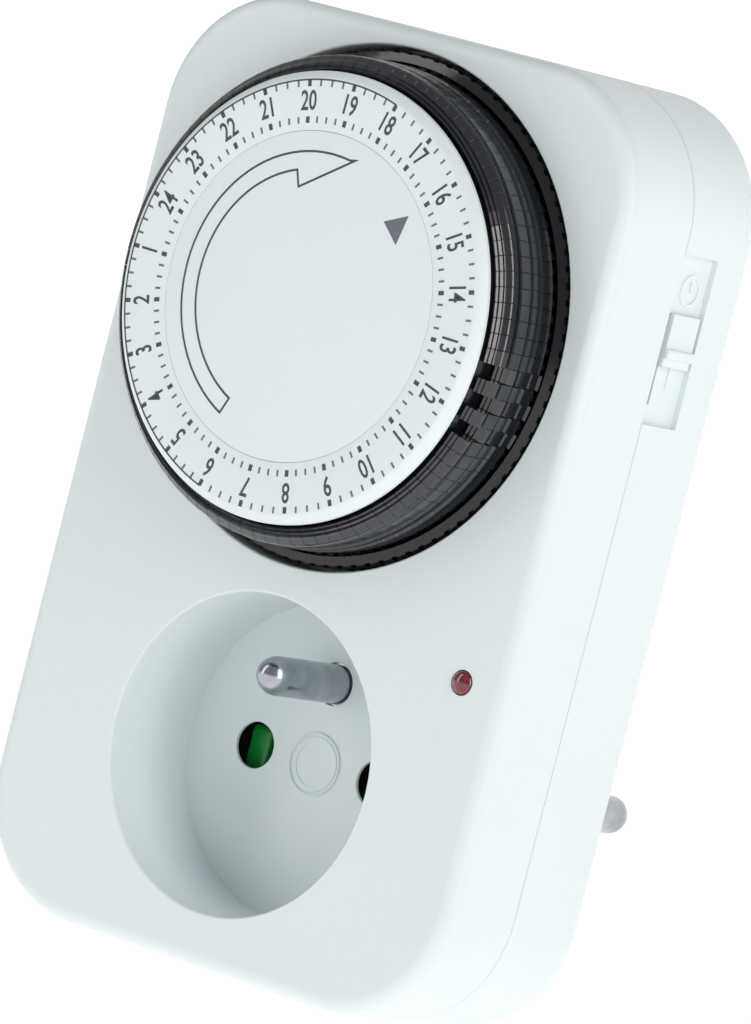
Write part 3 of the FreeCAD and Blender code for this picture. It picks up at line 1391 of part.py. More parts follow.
def make_motor(rotor_start):
    """The synchronous motor: stator cup, bobbin, winding, magnet rotor with its leaf pinion, and arbor."""
    front = "motor_plate_front + motor_plate_thickness"
    inner = "stator_radius - stator_wall"
    corners = ((inner, front), ("stator_radius", front), ("stator_radius", "stator_back"),
               ("rotor_arbor_radius", "stator_back"), ("rotor_arbor_radius", "stator_back - stator_wall"),
               (inner, "stator_back - stator_wall"))
    on_axis(turned("stator_cup", corners), "rotor")
    start = front
    end = "stator_back - stator_wall"
    corners = (("bobbin_bore", start), ("bobbin_radius", start),
               ("bobbin_radius", start + " + bobbin_flange"),
               ("bobbin_core", start + " + bobbin_flange"), ("bobbin_core", end + " - bobbin_flange"),
               ("bobbin_radius", end + " - bobbin_flange"), ("bobbin_radius", end), ("bobbin_bore", end))
    on_axis(turned("coil_bobbin", corners), "rotor")
    corners = (("bobbin_core", start + " + bobbin_flange"), ("winding_radius", start + " + bobbin_flange"),
               ("winding_radius", end + " - bobbin_flange"), ("bobbin_core", end + " - bobbin_flange"))
    on_axis(turned("coil_winding", corners), "rotor")
    module = number("train_module")
    layer = number("first_layer")
    width = number("wheel_width")
    leaf = spur("rotor_leaf", module, int(number("leaf_teeth")), rotor_start, layer, layer + width)
    neck = rod("rotor_neck", "wheel_hub_radius", "first_layer", "rotor_front + 0.5")
    magnet = rod("rotor_magnet", "rotor_radius", "rotor_front", "rotor_back")
    bore = rod("rotor_bore", "rotor_arbor_radius + running_gap", "first_layer - 1", "rotor_back + 1")
    on_axis(less("rotor", fused("rotor_whole", [leaf, neck, magnet]), [bore]), "rotor")
    on_axis(fused("rotor_arbor",
                  [rod("rotor_pin", "rotor_arbor_radius", "well_depth + well_floor", "stator_back"),
                                  rod("rotor_stop", "rotor_arbor_radius + 0.5", "rotor_back + 0.1",
                                      "stator_back - stator_wall")]), "rotor")


# Indicator

def make_indicator():
    """The indicator: a domed lens in the front, a neon lamp behind it and its resistor."""
    back = "wall + lens_flange"
    body = turned("indicator_lens", (("0", "-lens_front"), ("lens_radius * 0.6", "-lens_front * 0.75"),
                                     ("lens_radius", "0"), ("lens_radius", "wall"),
                                     ("lens_flange_radius", "wall"),
                                     ("lens_flange_radius", back), ("0", back)))
    place(body, across="lamp_across", height="lamp_height")
    front = back
    end = "(%s) + lamp_length" % front
    body = turned("neon_lamp",
                  (("0", front), ("lamp_radius * 0.6", front), ("lamp_radius", "(%s) + 1" % front),
                                ("lamp_radius", end), ("0", end)))
    place(body, across="lamp_across", height="lamp_height")
    depth = "(%s) + resistor_radius + 0.2" % end
    barrel = cross_rod("resistor_barrel", "resistor_radius", "lamp_across - 2 - resistor_length",
                       "lamp_across - 2",
                       depth, "lamp_height")
    lead = cross_rod("resistor_lead", "lead_radius", "lamp_across - 4 - resistor_length", "lamp_across",
                     depth, "lamp_height")
    joint = rod("resistor_joint", "lead_radius", end, depth, "lamp_across", "lamp_height")
    place(fused("lamp_resistor", [barrel, lead, joint]))


make_front_cover()
make_rear_cover()
make_case_screws()
make_socket_plate()
make_earth_pin()
make_shutter()
make_plug_pin("line_pin", "")
make_plug_pin("neutral_pin", "-")
make_earth_sleeve()
make_earth_strap()
make_contact_block()
make_clip("line_clip", "")
make_clip("neutral_clip", "-")
make_bars()
make_switch()
make_override()
make_dial_post()
make_centre_disc()
make_number_ring()
make_dial()
make_tappets()
make_drive_pinion()
make_motor(make_train())
make_arbors()
make_plates()
make_indicator()
doc.recompute()

for item in doc.Objects:
    bad = [word for word in item.State if word in ("Invalid", "Error")]
    if bad:
        raise RuntimeError("%s is %s" % (item.Name, bad))
os.makedirs("parts", exist_ok=True)
for piece in pieces:
    shape = piece.Shape
    if shape.isNull() or not shape.isValid() or not shape.Solids:
        raise RuntimeError("%s has no good solid" % piece.Label)
    shape.exportStep("parts/%s.step" % piece.Label)
print("%d pieces" % len(pieces))
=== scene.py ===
import logging
import math
from dataclasses import dataclass, field
from enum import Enum
from typing import Any, Callable, Mapping, Optional, Sequence, Union

import bmesh
import bpy
from mathutils import Matrix, Quaternion, Vector


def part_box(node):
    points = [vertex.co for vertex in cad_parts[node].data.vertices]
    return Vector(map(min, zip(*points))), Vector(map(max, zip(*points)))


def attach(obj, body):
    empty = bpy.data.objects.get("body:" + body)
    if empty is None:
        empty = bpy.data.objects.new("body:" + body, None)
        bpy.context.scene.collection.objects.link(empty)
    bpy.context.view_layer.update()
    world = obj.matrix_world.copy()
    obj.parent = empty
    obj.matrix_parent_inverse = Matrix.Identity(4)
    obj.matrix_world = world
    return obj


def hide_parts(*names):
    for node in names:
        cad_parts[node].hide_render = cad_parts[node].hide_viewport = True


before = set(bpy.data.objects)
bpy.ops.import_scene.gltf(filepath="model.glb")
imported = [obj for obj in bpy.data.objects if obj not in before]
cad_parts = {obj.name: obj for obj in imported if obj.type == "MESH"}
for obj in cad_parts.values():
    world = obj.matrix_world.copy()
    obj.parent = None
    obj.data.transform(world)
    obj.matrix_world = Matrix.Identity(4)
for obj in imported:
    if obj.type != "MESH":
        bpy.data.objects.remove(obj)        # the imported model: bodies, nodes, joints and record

# Plug in timer switch: the looks of its housing, day dial, socket, plug and inner works.
# Sizes are millimetres in the row frame: X to the right, Y from the front to the wall, Z up.
# The housing's rear face is at Y = 0, and the plug and the socket share the Y axis.

log = logging.getLogger("timer_switch")
METRES = 0.001
FULL_TURN = 2.0 * math.pi
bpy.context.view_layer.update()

Corner = tuple[float, ...]
Colour = tuple[float, float, float]
Number = Union[int, float, "Signal"]


@dataclass(frozen=True)
class Span:
    """The box that a CAD node fills at rest, in millimetres."""

    low: Vector
    high: Vector

    @classmethod
    def of(cls, node: str) -> "Span":
        """Reads a node's box from the frame."""
        low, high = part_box(node)
        return cls(Vector(low) / METRES, Vector(high) / METRES)

    @property
    def centre(self) -> Vector:
        """The middle of the box."""
        return (self.low + self.high) / 2.0

    @property
    def size(self) -> Vector:
        """The box's lengths."""
        return self.high - self.low


class Body(Enum):
    """The CAD bodies that pieces ride on."""

    HOUSING = "housing"
    DIAL = "dial"
    OVERRIDE = "override"
    SHUTTER = "shutter"
    TAPPET_1145 = "tappet_1145"
    TAPPET_1200 = "tappet_1200"
    TAPPET_1215 = "tappet_1215"
    TAPPET_1230 = "tappet_1230"
    TAPPET_1245 = "tappet_1245"


# Shading

class Signal:
    """A node's output that takes part in Python arithmetic by adding Math nodes."""

    def __init__(self, bench: "Bench", socket: bpy.types.NodeSocket) -> None:
        """Wraps a socket of the bench's tree."""
        self.bench = bench
        self.socket = socket

    def _math(self, operation: str, first: Number, second: Number) -> "Signal":
        """Adds one Math node."""
        return self.bench.node("ShaderNodeMath", {"operation": operation}, {0: first, 1: second})

    def __add__(self, other: Number) -> "Signal":
        """This plus other."""
        return self._math("ADD", self, other)

    __radd__ = __add__

    def __sub__(self, other: Number) -> "Signal":
        """This minus other."""
        return self._math("SUBTRACT", self, other)

    def __mul__(self, other: Number) -> "Signal":
        """This times other."""
        return self._math("MULTIPLY", self, other)

    __rmul__ = __mul__

    def above(self, limit: Number) -> "Signal":
        """One where this is over the limit, and nought elsewhere."""
        return self._math("GREATER_THAN", self, limit)


class Bench:
    """One material under construction."""

    def __init__(self, name: str) -> None:
        """Starts an empty node material."""
        self.material = bpy.data.materials.new(name)
        self.material.use_nodes = True
        self.tree = self.material.node_tree
        self.tree.nodes.clear()

    def node(self, kind: str, settings: Optional[Mapping[str, Any]] = None,
             inputs: Optional[Mapping[Union[str, int], Any]] = None,
             output: Union[str, int] = 0) -> Optional[Signal]:
        """Adds a node.

        Args:
            kind: The node's type.
            settings: Its properties, and "stops" for a ramp's positions and colours.
            inputs: A value or a Signal for each input socket.
            output: The output to return.

        Returns:
            The chosen output, if the node has any.
        """
        made = self.tree.nodes.new(kind)
        for key, value in (settings or {}).items():
            if key == "stops":
                self._set_stops(made.color_ramp, value)
            else:
                setattr(made, key, value)
        for key, value in (inputs or {}).items():
            if isinstance(value, Signal):
                self.tree.links.new(value.socket, made.inputs[key])
            else:
                made.inputs[key].default_value = value
        return Signal(self, made.outputs[output]) if len(made.outputs) else None

    @staticmethod
    def _set_stops(ramp: bpy.types.ColorRamp, stops: Sequence[tuple[float, float]]) -> None:
        """Gives a ramp its stops, each a position and a grey."""
        while len(ramp.elements) < len(stops):
            ramp.elements.new(0.5)
        for element, (position, grey) in zip(ramp.elements, stops):
            element.position = position
            element.color = (grey, grey, grey, 1.0)

    def place(self, turn: Corner = (0.0, 0.0, 0.0), stretch: Corner = (1.0, 1.0, 1.0),
              shift: Corner = (0.0, 0.0, 0.0)) -> Signal:
        """The surface's own coordinates, moved, turned and stretched.

        Args:
            turn: Angles about X, Y and Z.
            stretch: Factors along X, Y and Z.
            shift: Metres along X, Y and Z.

        Returns:
            A vector.
        """
        spot = self.node("ShaderNodeTexCoord", output="Object")
        return self.node("ShaderNodeMapping", None,
                         {"Vector": spot, "Rotation": turn, "Scale": stretch, "Location": shift})

    def noise(self, grain_mm: float, detail: float = 3.0, where: Optional[Signal] = None) -> Signal:
        """Smooth noise whose grains are about grain_mm wide, from 0 to 1."""
        scale = 1.0 / (grain_mm * METRES)
        return self.node("ShaderNodeTexNoise", None,
                         {"Vector": where or self.place(), "Scale": scale, "Detail": detail,
                          "Roughness": 0.55})

    def ramp(self, signal: Signal, stops: Sequence[tuple[float, float]]) -> Signal:
        """Maps a signal through grey stops."""
        return self.node("ShaderNodeValToRGB", {"stops": stops}, {0: signal})

    def blend(self, factor: Number, first: Union[Colour, Signal], second: Union[Colour, Signal]) -> Signal:
        """Mixes two colours."""
        ends = [(*value, 1.0) if isinstance(value, tuple) else value for value in (first, second)]
        return self.node("ShaderNodeMix", {"data_type": "RGBA"}, {0: factor, 6: ends[0], 7: ends[1]}, 2)

    def bump(self, height: Signal, depth_mm: float, strength: float = 1.0) -> Signal:
        """A normal from a height between 0 and 1."""
        return self.node("ShaderNodeBump", None,
                         {"Height": height, "Distance": depth_mm * METRES, "Strength": strength})

    def surface(self, **sockets: Any) -> bpy.types.Material:
        """Ends the material in a principled shader.

        Args:
            sockets: Values or Signals for its sockets, with underscores for spaces.

        Returns:
            The material.
        """
        inputs = {key.replace("_", " "): value for key, value in sockets.items()}
        shader = self.node("ShaderNodeBsdfPrincipled", None, inputs)
        self.node("ShaderNodeOutputMaterial", None, {"Surface": shader})
        return self.material


@dataclass(frozen=True)
class Finish:
    """A surface finish. Each kind of finish says how it is shaded."""

    name: str
    slot: str
    colour: Colour
    shade: Colour

    def dress(self, bench: Bench) -> bpy.types.Material:
        """Builds the shading."""
        raise NotImplementedError

    def material(self) -> bpy.types.Material:
        """The finish's material, built on first use."""
        title = "finish_" + self.name
        known = bpy.data.materials.get(title)
        return known if known else self.dress(Bench(title))


@dataclass(frozen=True)
class Moulded(Finish):
    """Injection-moulded plastic: faint flow mottling and a fine tool grain."""

    roughness: float = 0.45
    spread: float = 0.06
    grain_mm: float = 0.16
    grain_depth_mm: float = 0.004
    flow_mm: float = 22.0
    coat: float = 0.0

    def dress(self, bench: Bench) -> bpy.types.Material:
        """Mottles the colour, varies the gloss and adds the tool's grain."""
        flow = bench.noise(self.flow_mm, 2.0)
        grain = bench.noise(self.grain_mm, 2.0)
        specks = bench.noise(self.grain_mm * 9.0, 3.0)
        colour = bench.blend(bench.ramp(flow * 0.7 + specks * 0.3, ((0.3, 0.0), (0.75, 1.0))), self.colour,
                             self.shade)
        roughness = self.roughness + (specks - 0.5) * self.spread * 2.0 + (grain - 0.5) * self.spread
        return bench.surface(Base_Color=colour, Roughness=roughness, Coat_Weight=self.coat,
                             Coat_Roughness=0.12,
                             Normal=bench.bump(grain, self.grain_depth_mm))


@dataclass(frozen=True)
class Plated(Finish):
    """Plated or rolled metal: fine marks drawn out along one axis and faint cloudy tarnish."""

    roughness: float = 0.25
    marks: Corner = (1.0, 0.06, 1.0)
    mark_mm: float = 0.12
    mark_depth_mm: float = 0.002
    cloud_mm: float = 3.0

    def dress(self, bench: Bench) -> bpy.types.Material:
        """Draws marks along one axis, and clouds the colour and the gloss."""
        marks = bench.noise(self.mark_mm, 4.0, bench.place(stretch=self.marks))
        cloud = bench.noise(self.cloud_mm, 4.0)
        colour = bench.blend(bench.ramp(cloud * 0.7 + marks * 0.3, ((0.35, 0.0), (0.7, 1.0))), self.colour,
                             self.shade)
        roughness = self.roughness + (marks - 0.5) * 0.18 + (cloud - 0.5) * 0.12
        return bench.surface(Base_Color=colour, Metallic=1.0, Roughness=roughness,
                             Normal=bench.bump(marks, self.mark_depth_mm))


@dataclass(frozen=True)
class Tinted(Finish):
    """Clear tinted plastic or glass, with darker depths and a polished skin."""

    glow: float = 0.25
    roughness: float = 0.08
    vein_mm: float = 0.9

    def dress(self, bench: Bench) -> bpy.types.Material:
        """Lightens the tint in cloudy spots under a coat."""
        cloud = bench.noise(self.vein_mm, 2.0)
        colour = bench.blend(bench.ramp(cloud, ((0.35, 0.0), (0.7, 1.0))), self.colour, self.shade)
        roughness = self.roughness + cloud * 0.05
        return bench.surface(Base_Color=colour, Roughness=roughness, Coat_Weight=1.0, Coat_Roughness=0.03,
                             Transmission_Weight=self.glow, IOR=1.49)


@dataclass(frozen=True)
class Inked(Finish):
    """Pad-printed ink: a dull film with pinholes and an uneven edge of tone."""

    def dress(self, bench: Bench) -> bpy.types.Material:
        """Varies the ink's tone and gloss."""
        pores = bench.noise(0.12, 3.0)
        colour = bench.blend(bench.ramp(pores, ((0.4, 0.0), (0.72, 1.0))), self.colour, self.shade)
        return bench.surface(Base_Color=colour, Roughness=0.5 + pores * 0.15,
                             Normal=bench.bump(pores, 0.001))


@dataclass(frozen=True)
class Wound(Finish):
    """Layers of enamelled wire: fine ridges round the coil."""

    wire_mm: float = 0.14

    def dress(self, bench: Bench) -> bpy.types.Material:
        """Adds a ridge for each turn and paints shade into the grooves between turns by darkening the colour
        where the ridges are low; the colour also varies at random from turn to turn.
        """
        turns = bench.node("ShaderNodeTexWave", {"wave_type": "BANDS", "bands_direction": "Y"},
                           {"Vector": bench.place(), "Scale": 0.314 / (self.wire_mm * METRES),
                            "Distortion": 0.4},
                           "Fac")
        cloud = bench.noise(1.5, 3.0, bench.place(stretch=(0.3, 2.0, 0.3)))
        # Painted shade: the colour follows the ridges' height, so it is dark in the grooves between turns
        # and full copper on the crests; the cloud adds random tone.
        colour = bench.blend(turns * 0.6 + cloud * 0.4, self.shade, self.colour)
        return bench.surface(Base_Color=colour, Metallic=0.85, Roughness=0.28 + cloud * 0.15,
                             Normal=bench.bump(turns, 0.03))


@dataclass(frozen=True)
class Banded(Finish):
    """A resistor's lacquer with coloured value rings."""

    ring: Colour = (0.42, 0.06, 0.04)
    pitch_mm: float = 1.6

    def dress(self, bench: Bench) -> bpy.types.Material:
        """Paints rings across the lacquer."""
        bands = bench.node("ShaderNodeTexWave", {"wave_type": "BANDS", "bands_direction": "X"},
                           {"Vector": bench.place(), "Scale": 0.314 / (self.pitch_mm * METRES)}, "Fac")
        fleck = bench.noise(0.2, 3.0)
        lacquer = bench.blend(fleck, self.colour, self.shade)
        colour = bench.blend(bands.above(0.8), lacquer, self.ring)
        return bench.surface(Base_Color=colour, Roughness=0.3 + fleck * 0.1, Coat_Weight=0.5)


CASE = Moulded("case_white", "cover", (0.785, 0.85, 0.86), (0.76, 0.83, 0.842), roughness=0.42)
DIAL_WHITE = Moulded("dial_white", "dial_white", (0.80, 0.865, 0.87), (0.775, 0.845, 0.85), roughness=0.40,
                     grain_depth_mm=0.0015, grain_mm=0.3)
TAPPET = Moulded("tappet_black", "tappet", (0.012, 0.015, 0.020), (0.007, 0.009, 0.013), roughness=0.22,
                 coat=0.7, spread=0.08, grain_mm=0.12, grain_depth_mm=0.002)
POLISHED = Moulded("drum_black", "dial_black", (0.006, 0.007, 0.010), (0.012, 0.013, 0.017), roughness=0.12,
                   grain_depth_mm=0.0008)
SHUTTER_GREEN = Moulded("shutter_green", "shutter_green", (0.004, 0.26, 0.03), (0.008, 0.33, 0.05),
                        roughness=0.25)
LEVER_RED = Moulded("lever_red", "lever_plastic", (0.40, 0.035, 0.025), (0.48, 0.05, 0.03), roughness=0.32)
ACETAL = Moulded("acetal", "wheel_plastic", (0.78, 0.74, 0.62), (0.70, 0.66, 0.54), roughness=0.4)
THERMOSET = Moulded("thermoset", "block_plastic", (0.03, 0.03, 0.033), (0.045, 0.045, 0.048), roughness=0.5)
NYLON = Moulded("glass_nylon", "bobbin_plastic", (0.72, 0.70, 0.60), (0.64, 0.61, 0.50), roughness=0.5)
FERRITE = Moulded("ferrite", "magnet", (0.07, 0.07, 0.073), (0.11, 0.11, 0.112), roughness=0.55,
                  grain_depth_mm=0.01)
NICKEL = Plated("pin_nickel", "pin_metal", (0.46, 0.48, 0.51), (0.30, 0.32, 0.35), roughness=0.22)
BRASS = Plated("contact_brass", "brass", (0.80, 0.60, 0.27), (0.60, 0.42, 0.18), roughness=0.28)
ZINC = Plated("zinc_steel", "steel", (0.62, 0.63, 0.64), (0.48, 0.49, 0.51), roughness=0.33,
              marks=(0.08, 1.0, 1.0))
SCREW = Plated("screw_steel", "screw_steel", (0.42, 0.42, 0.43), (0.28, 0.28, 0.29), roughness=0.35)
LENS_RED = Tinted("lens_red", "lens_red", (0.12, 0.004, 0.015), (0.26, 0.010, 0.04), glow=0.1)
LAMP_GLASS = Tinted("lamp_glass", "lamp_glass", (0.92, 0.86, 0.80), (0.95, 0.55, 0.35), glow=0.8)
INK = Inked("print_ink", "dial_white", (0.045, 0.055, 0.08), (0.08, 0.095, 0.125))
INK_SOFT = Inked("print_ink_soft", "dial_white", (0.12, 0.13, 0.16), (0.18, 0.195, 0.225))
COPPER = Wound("copper_wire", "copper_wire", (0.72, 0.30, 0.12), (0.40, 0.13, 0.05))
RESISTOR = Banded("resistor_lacquer", "resistor", (0.62, 0.50, 0.33), (0.55, 0.43, 0.27))


# Shapes

class Form:
    """A mesh under construction, in millimetres in the row frame."""

    SHARP = math.radians(32.0)

    def __init__(self) -> None:
        """Starts with no faces."""
        self.mesh = bmesh.new()

    @classmethod
    def outlined(cls, corners: Sequence[Corner], closed: bool, segments: int,
                 spot: Callable[[float, float], Vector]) -> "Form":
        """Draws a chain of edges, and rounds the corners that carry a third number.

        Args:
            corners: Two coordinates each, and a rounding where a corner has one.
            closed: Whether the last corner joins the first.
            segments: Edges in each rounding.
            spot: Turns the two coordinates into a place.

        Returns:
            A form with edges only.
        """
        form = cls()
        mesh = form.mesh
        dots = [mesh.verts.new(spot(corner[0], corner[1])) for corner in corners]
        for first, second in zip(dots, dots[1:] + dots[:1] if closed else dots[1:]):
            mesh.edges.new((first, second))
        sizes = sorted({corner[2] for corner in corners if len(corner) > 2 and corner[2] > 0.0})
        for size in sizes:
            chosen = [dot for dot, corner in zip(dots, corners) if len(corner) > 2 and corner[2] == size]
            bmesh.ops.bevel(mesh, geom=chosen, offset=size, offset_type="OFFSET", affect="VERTICES",
                            segments=segments, profile=0.5, material=-1)
        return form

    @classmethod
    def turned(cls, corners: Sequence[Corner], centre: Corner = (0.0, 0.0), closed: bool = True,
               steps: int = 128, segments: int = 4) -> "Form":
        """A solid turned about an axis that runs from front to back.

        Args:
            corners: Radius, Y and a rounding for each corner of the section.
            centre: The axis, as X and Z.
            closed: False where the section starts and ends on the axis.
            steps: Facets round the full turn.
            segments: Edges in each rounding.

        Returns:
            The solid.
        """
        form = cls.outlined(corners, closed, segments, lambda radius, depth: Vector((radius, depth, 0.0)))
        mesh = form.mesh
        bmesh.ops.spin(mesh, geom=mesh.verts[:] + mesh.edges[:], cent=(0.0, 0.0, 0.0), axis=(0.0, 1.0, 0.0),
                       dvec=(0.0, 0.0, 0.0), angle=FULL_TURN, steps=steps, use_merge=True)
        bmesh.ops.remove_doubles(mesh, verts=mesh.verts[:], dist=1e-4)
        return form.faced().moved(centre[0], 0.0, centre[1])

    @classmethod
    def slab(cls, corners: Sequence[Corner], front: float, back: float, segments: int = 12) -> "Form":
        """An upright outline raised from front to back.

        Args:
            corners: X, Z and a rounding for each corner.
            front: The near face's Y.
            back: The far face's Y.
            segments: Edges in each rounding.

        Returns:
            The solid.
        """
        form = cls.outlined(corners, True, segments, lambda across, up: Vector((across, front, up)))
        mesh = form.mesh
        bmesh.ops.contextual_create(mesh, geom=mesh.edges[:])
        raised = bmesh.ops.extrude_face_region(mesh, geom=mesh.faces[:])["geom"]
        moving = [item for item in raised if isinstance(item, bmesh.types.BMVert)]
        bmesh.ops.translate(mesh, verts=moving, vec=(0.0, back - front, 0.0))
        return form.faced()

    @classmethod
    def block(cls, low: Corner, high: Corner) -> "Form":
        """A box between two corners."""
        form = cls()
        size = Vector(high) - Vector(low)
        bmesh.ops.create_cube(form.mesh, size=1.0)
        bmesh.ops.scale(form.mesh, verts=form.mesh.verts[:], vec=size)
        return form.moved(*((Vector(low) + Vector(high)) / 2.0))

    @classmethod
    def rod(cls, radius: float, front: float, back: float, centre: Corner = (0.0, 0.0), steps: int = 48,
            rounding: float = 0.0) -> "Form":
        """A round rod from front to back."""
        corners = ((0.0, front), (radius, front, rounding), (radius, back, rounding), (0.0, back))
        return cls.turned(corners, centre, closed=False, steps=steps)

    @classmethod
    def of_mesh(cls, mesh: bpy.types.Mesh) -> "Form":
        """A form from a mesh, which is removed."""
        form = cls()
        form.mesh.from_mesh(mesh)
        bpy.data.meshes.remove(mesh)
        return form

    def faced(self) -> "Form":
        """Points every face outwards."""
        bmesh.ops.recalc_face_normals(self.mesh, faces=self.mesh.faces[:])
        return self

    def moved(self, across: float = 0.0, depth: float = 0.0, up: float = 0.0) -> "Form":
        """Moves the form."""
        bmesh.ops.translate(self.mesh, verts=self.mesh.verts[:], vec=(across, depth, up))
        return self

    def rotated(self, angle: float, axis: str = "Y", centre: Corner = (0.0, 0.0, 0.0)) -> "Form":
        """Turns the form about an axis through a centre, clockwise from the front about Y."""
        bmesh.ops.rotate(self.mesh, verts=self.mesh.verts[:], cent=centre,
                         matrix=Matrix.Rotation(angle, 3, axis))
        return self

    def softened(self, size: float, choose: Callable[[bmesh.types.BMEdge], bool],
                 segments: int = 2) -> "Form":
        """Rounds the edges that a test picks.

        Args:
            size: How far the rounding reaches.
            choose: The test.
            segments: Facets across the rounding.

        Returns:
            The same form.
        """
        edges = [edge for edge in self.mesh.edges if choose(edge)]
        bmesh.ops.bevel(self.mesh, geom=edges, offset=size, offset_type="OFFSET", affect="EDGES",
                        segments=segments,
                        profile=0.5, material=-1)
        return self

    def joined(self, *others: "Form") -> "Form":
        """Adds other forms as shells of their own."""
        for other in others:
            spare = bpy.data.meshes.new("spare")
            other.mesh.to_mesh(spare)
            other.mesh.free()
            self.mesh.from_mesh(spare)
            bpy.data.meshes.remove(spare)
        return self

    def _as_object(self, name: str) -> bpy.types.Object:
        """Puts the form into a short-lived object, in millimetres."""
        data = bpy.data.meshes.new(name)
        self.mesh.to_mesh(data)
        self.mesh.free()
        made = bpy.data.objects.new(name, data)
        bpy.context.scene.collection.objects.link(made)
        return made

    def combined(self, operation: str, *others: "Form") -> "Form":
        """Adds other forms to this one or takes them away, as solids.

        Args:
            operation: UNION or DIFFERENCE.
            others: Forms that don't touch each other.

        Returns:
            The new form.
        """
        base = self._as_object("base")
        tool = Form().joined(*others)._as_object("tool")
        step = base.modifiers.new("step", "BOOLEAN")
        step.operation = operation
        step.solver = "EXACT"
        step.object = tool
        graph = bpy.context.evaluated_depsgraph_get()
        result = bpy.data.meshes.new_from_object(base.evaluated_get(graph))
        for spare in (base, tool):
            data = spare.data
            bpy.data.objects.remove(spare)
            bpy.data.meshes.remove(data)
        form = Form.of_mesh(result)
        bmesh.ops.remove_doubles(form.mesh, verts=form.mesh.verts[:], dist=1e-4)
        return form

    def with_added(self, *others: "Form") -> "Form":
        """Joins other solids to this one."""
        return self.combined("UNION", *others)

    def without(self, *others: "Form") -> "Form":
        """Takes other solids away from this one."""
        return self.combined("DIFFERENCE", *others)

    def piece(self, name: str, finish: Finish, body: Body, replaces: Sequence[str] = (),
              weighted: bool = False) -> bpy.types.Object:
        """Turns the form into a finished piece that rides on a body.

        Args:
            name: The piece's name.
            finish: Its finish.
            body: The CAD body that it moves with.
            replaces: The CAD nodes that it stands for.
            weighted: Whether large faces rule the shading beside small ones.

        Returns:
            The piece's object.
        """
        bmesh.ops.scale(self.mesh, verts=self.mesh.verts[:], vec=(METRES, METRES, METRES))
        for face in self.mesh.faces:
            face.smooth = True
        for edge in self.mesh.edges:
            edge.smooth = len(edge.link_faces) == 2 and edge.calc_face_angle(0.0) < self.SHARP
        data = bpy.data.meshes.new(name)
        self.mesh.to_mesh(data)
        self.mesh.free()
        data.materials.append(finish.material())
        made = bpy.data.objects.new(name, data)
        bpy.context.scene.collection.objects.link(made)
        if weighted:
            step = made.modifiers.new("shading", "WEIGHTED_NORMAL")
            step.keep_sharp = True
        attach(made, body.value)
        if replaces:
            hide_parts(*replaces)
        log.info("%s: %d faces on %s", name, len(data.polygons), body.value)
        return made


def at_depth(depth: float) -> Callable[[bmesh.types.BMEdge], bool]:
    """A test for the edges that lie wholly at one Y."""
    return lambda edge: all(abs(vert.co.y - depth) < 1e-3 for vert in edge.verts)


# Housing

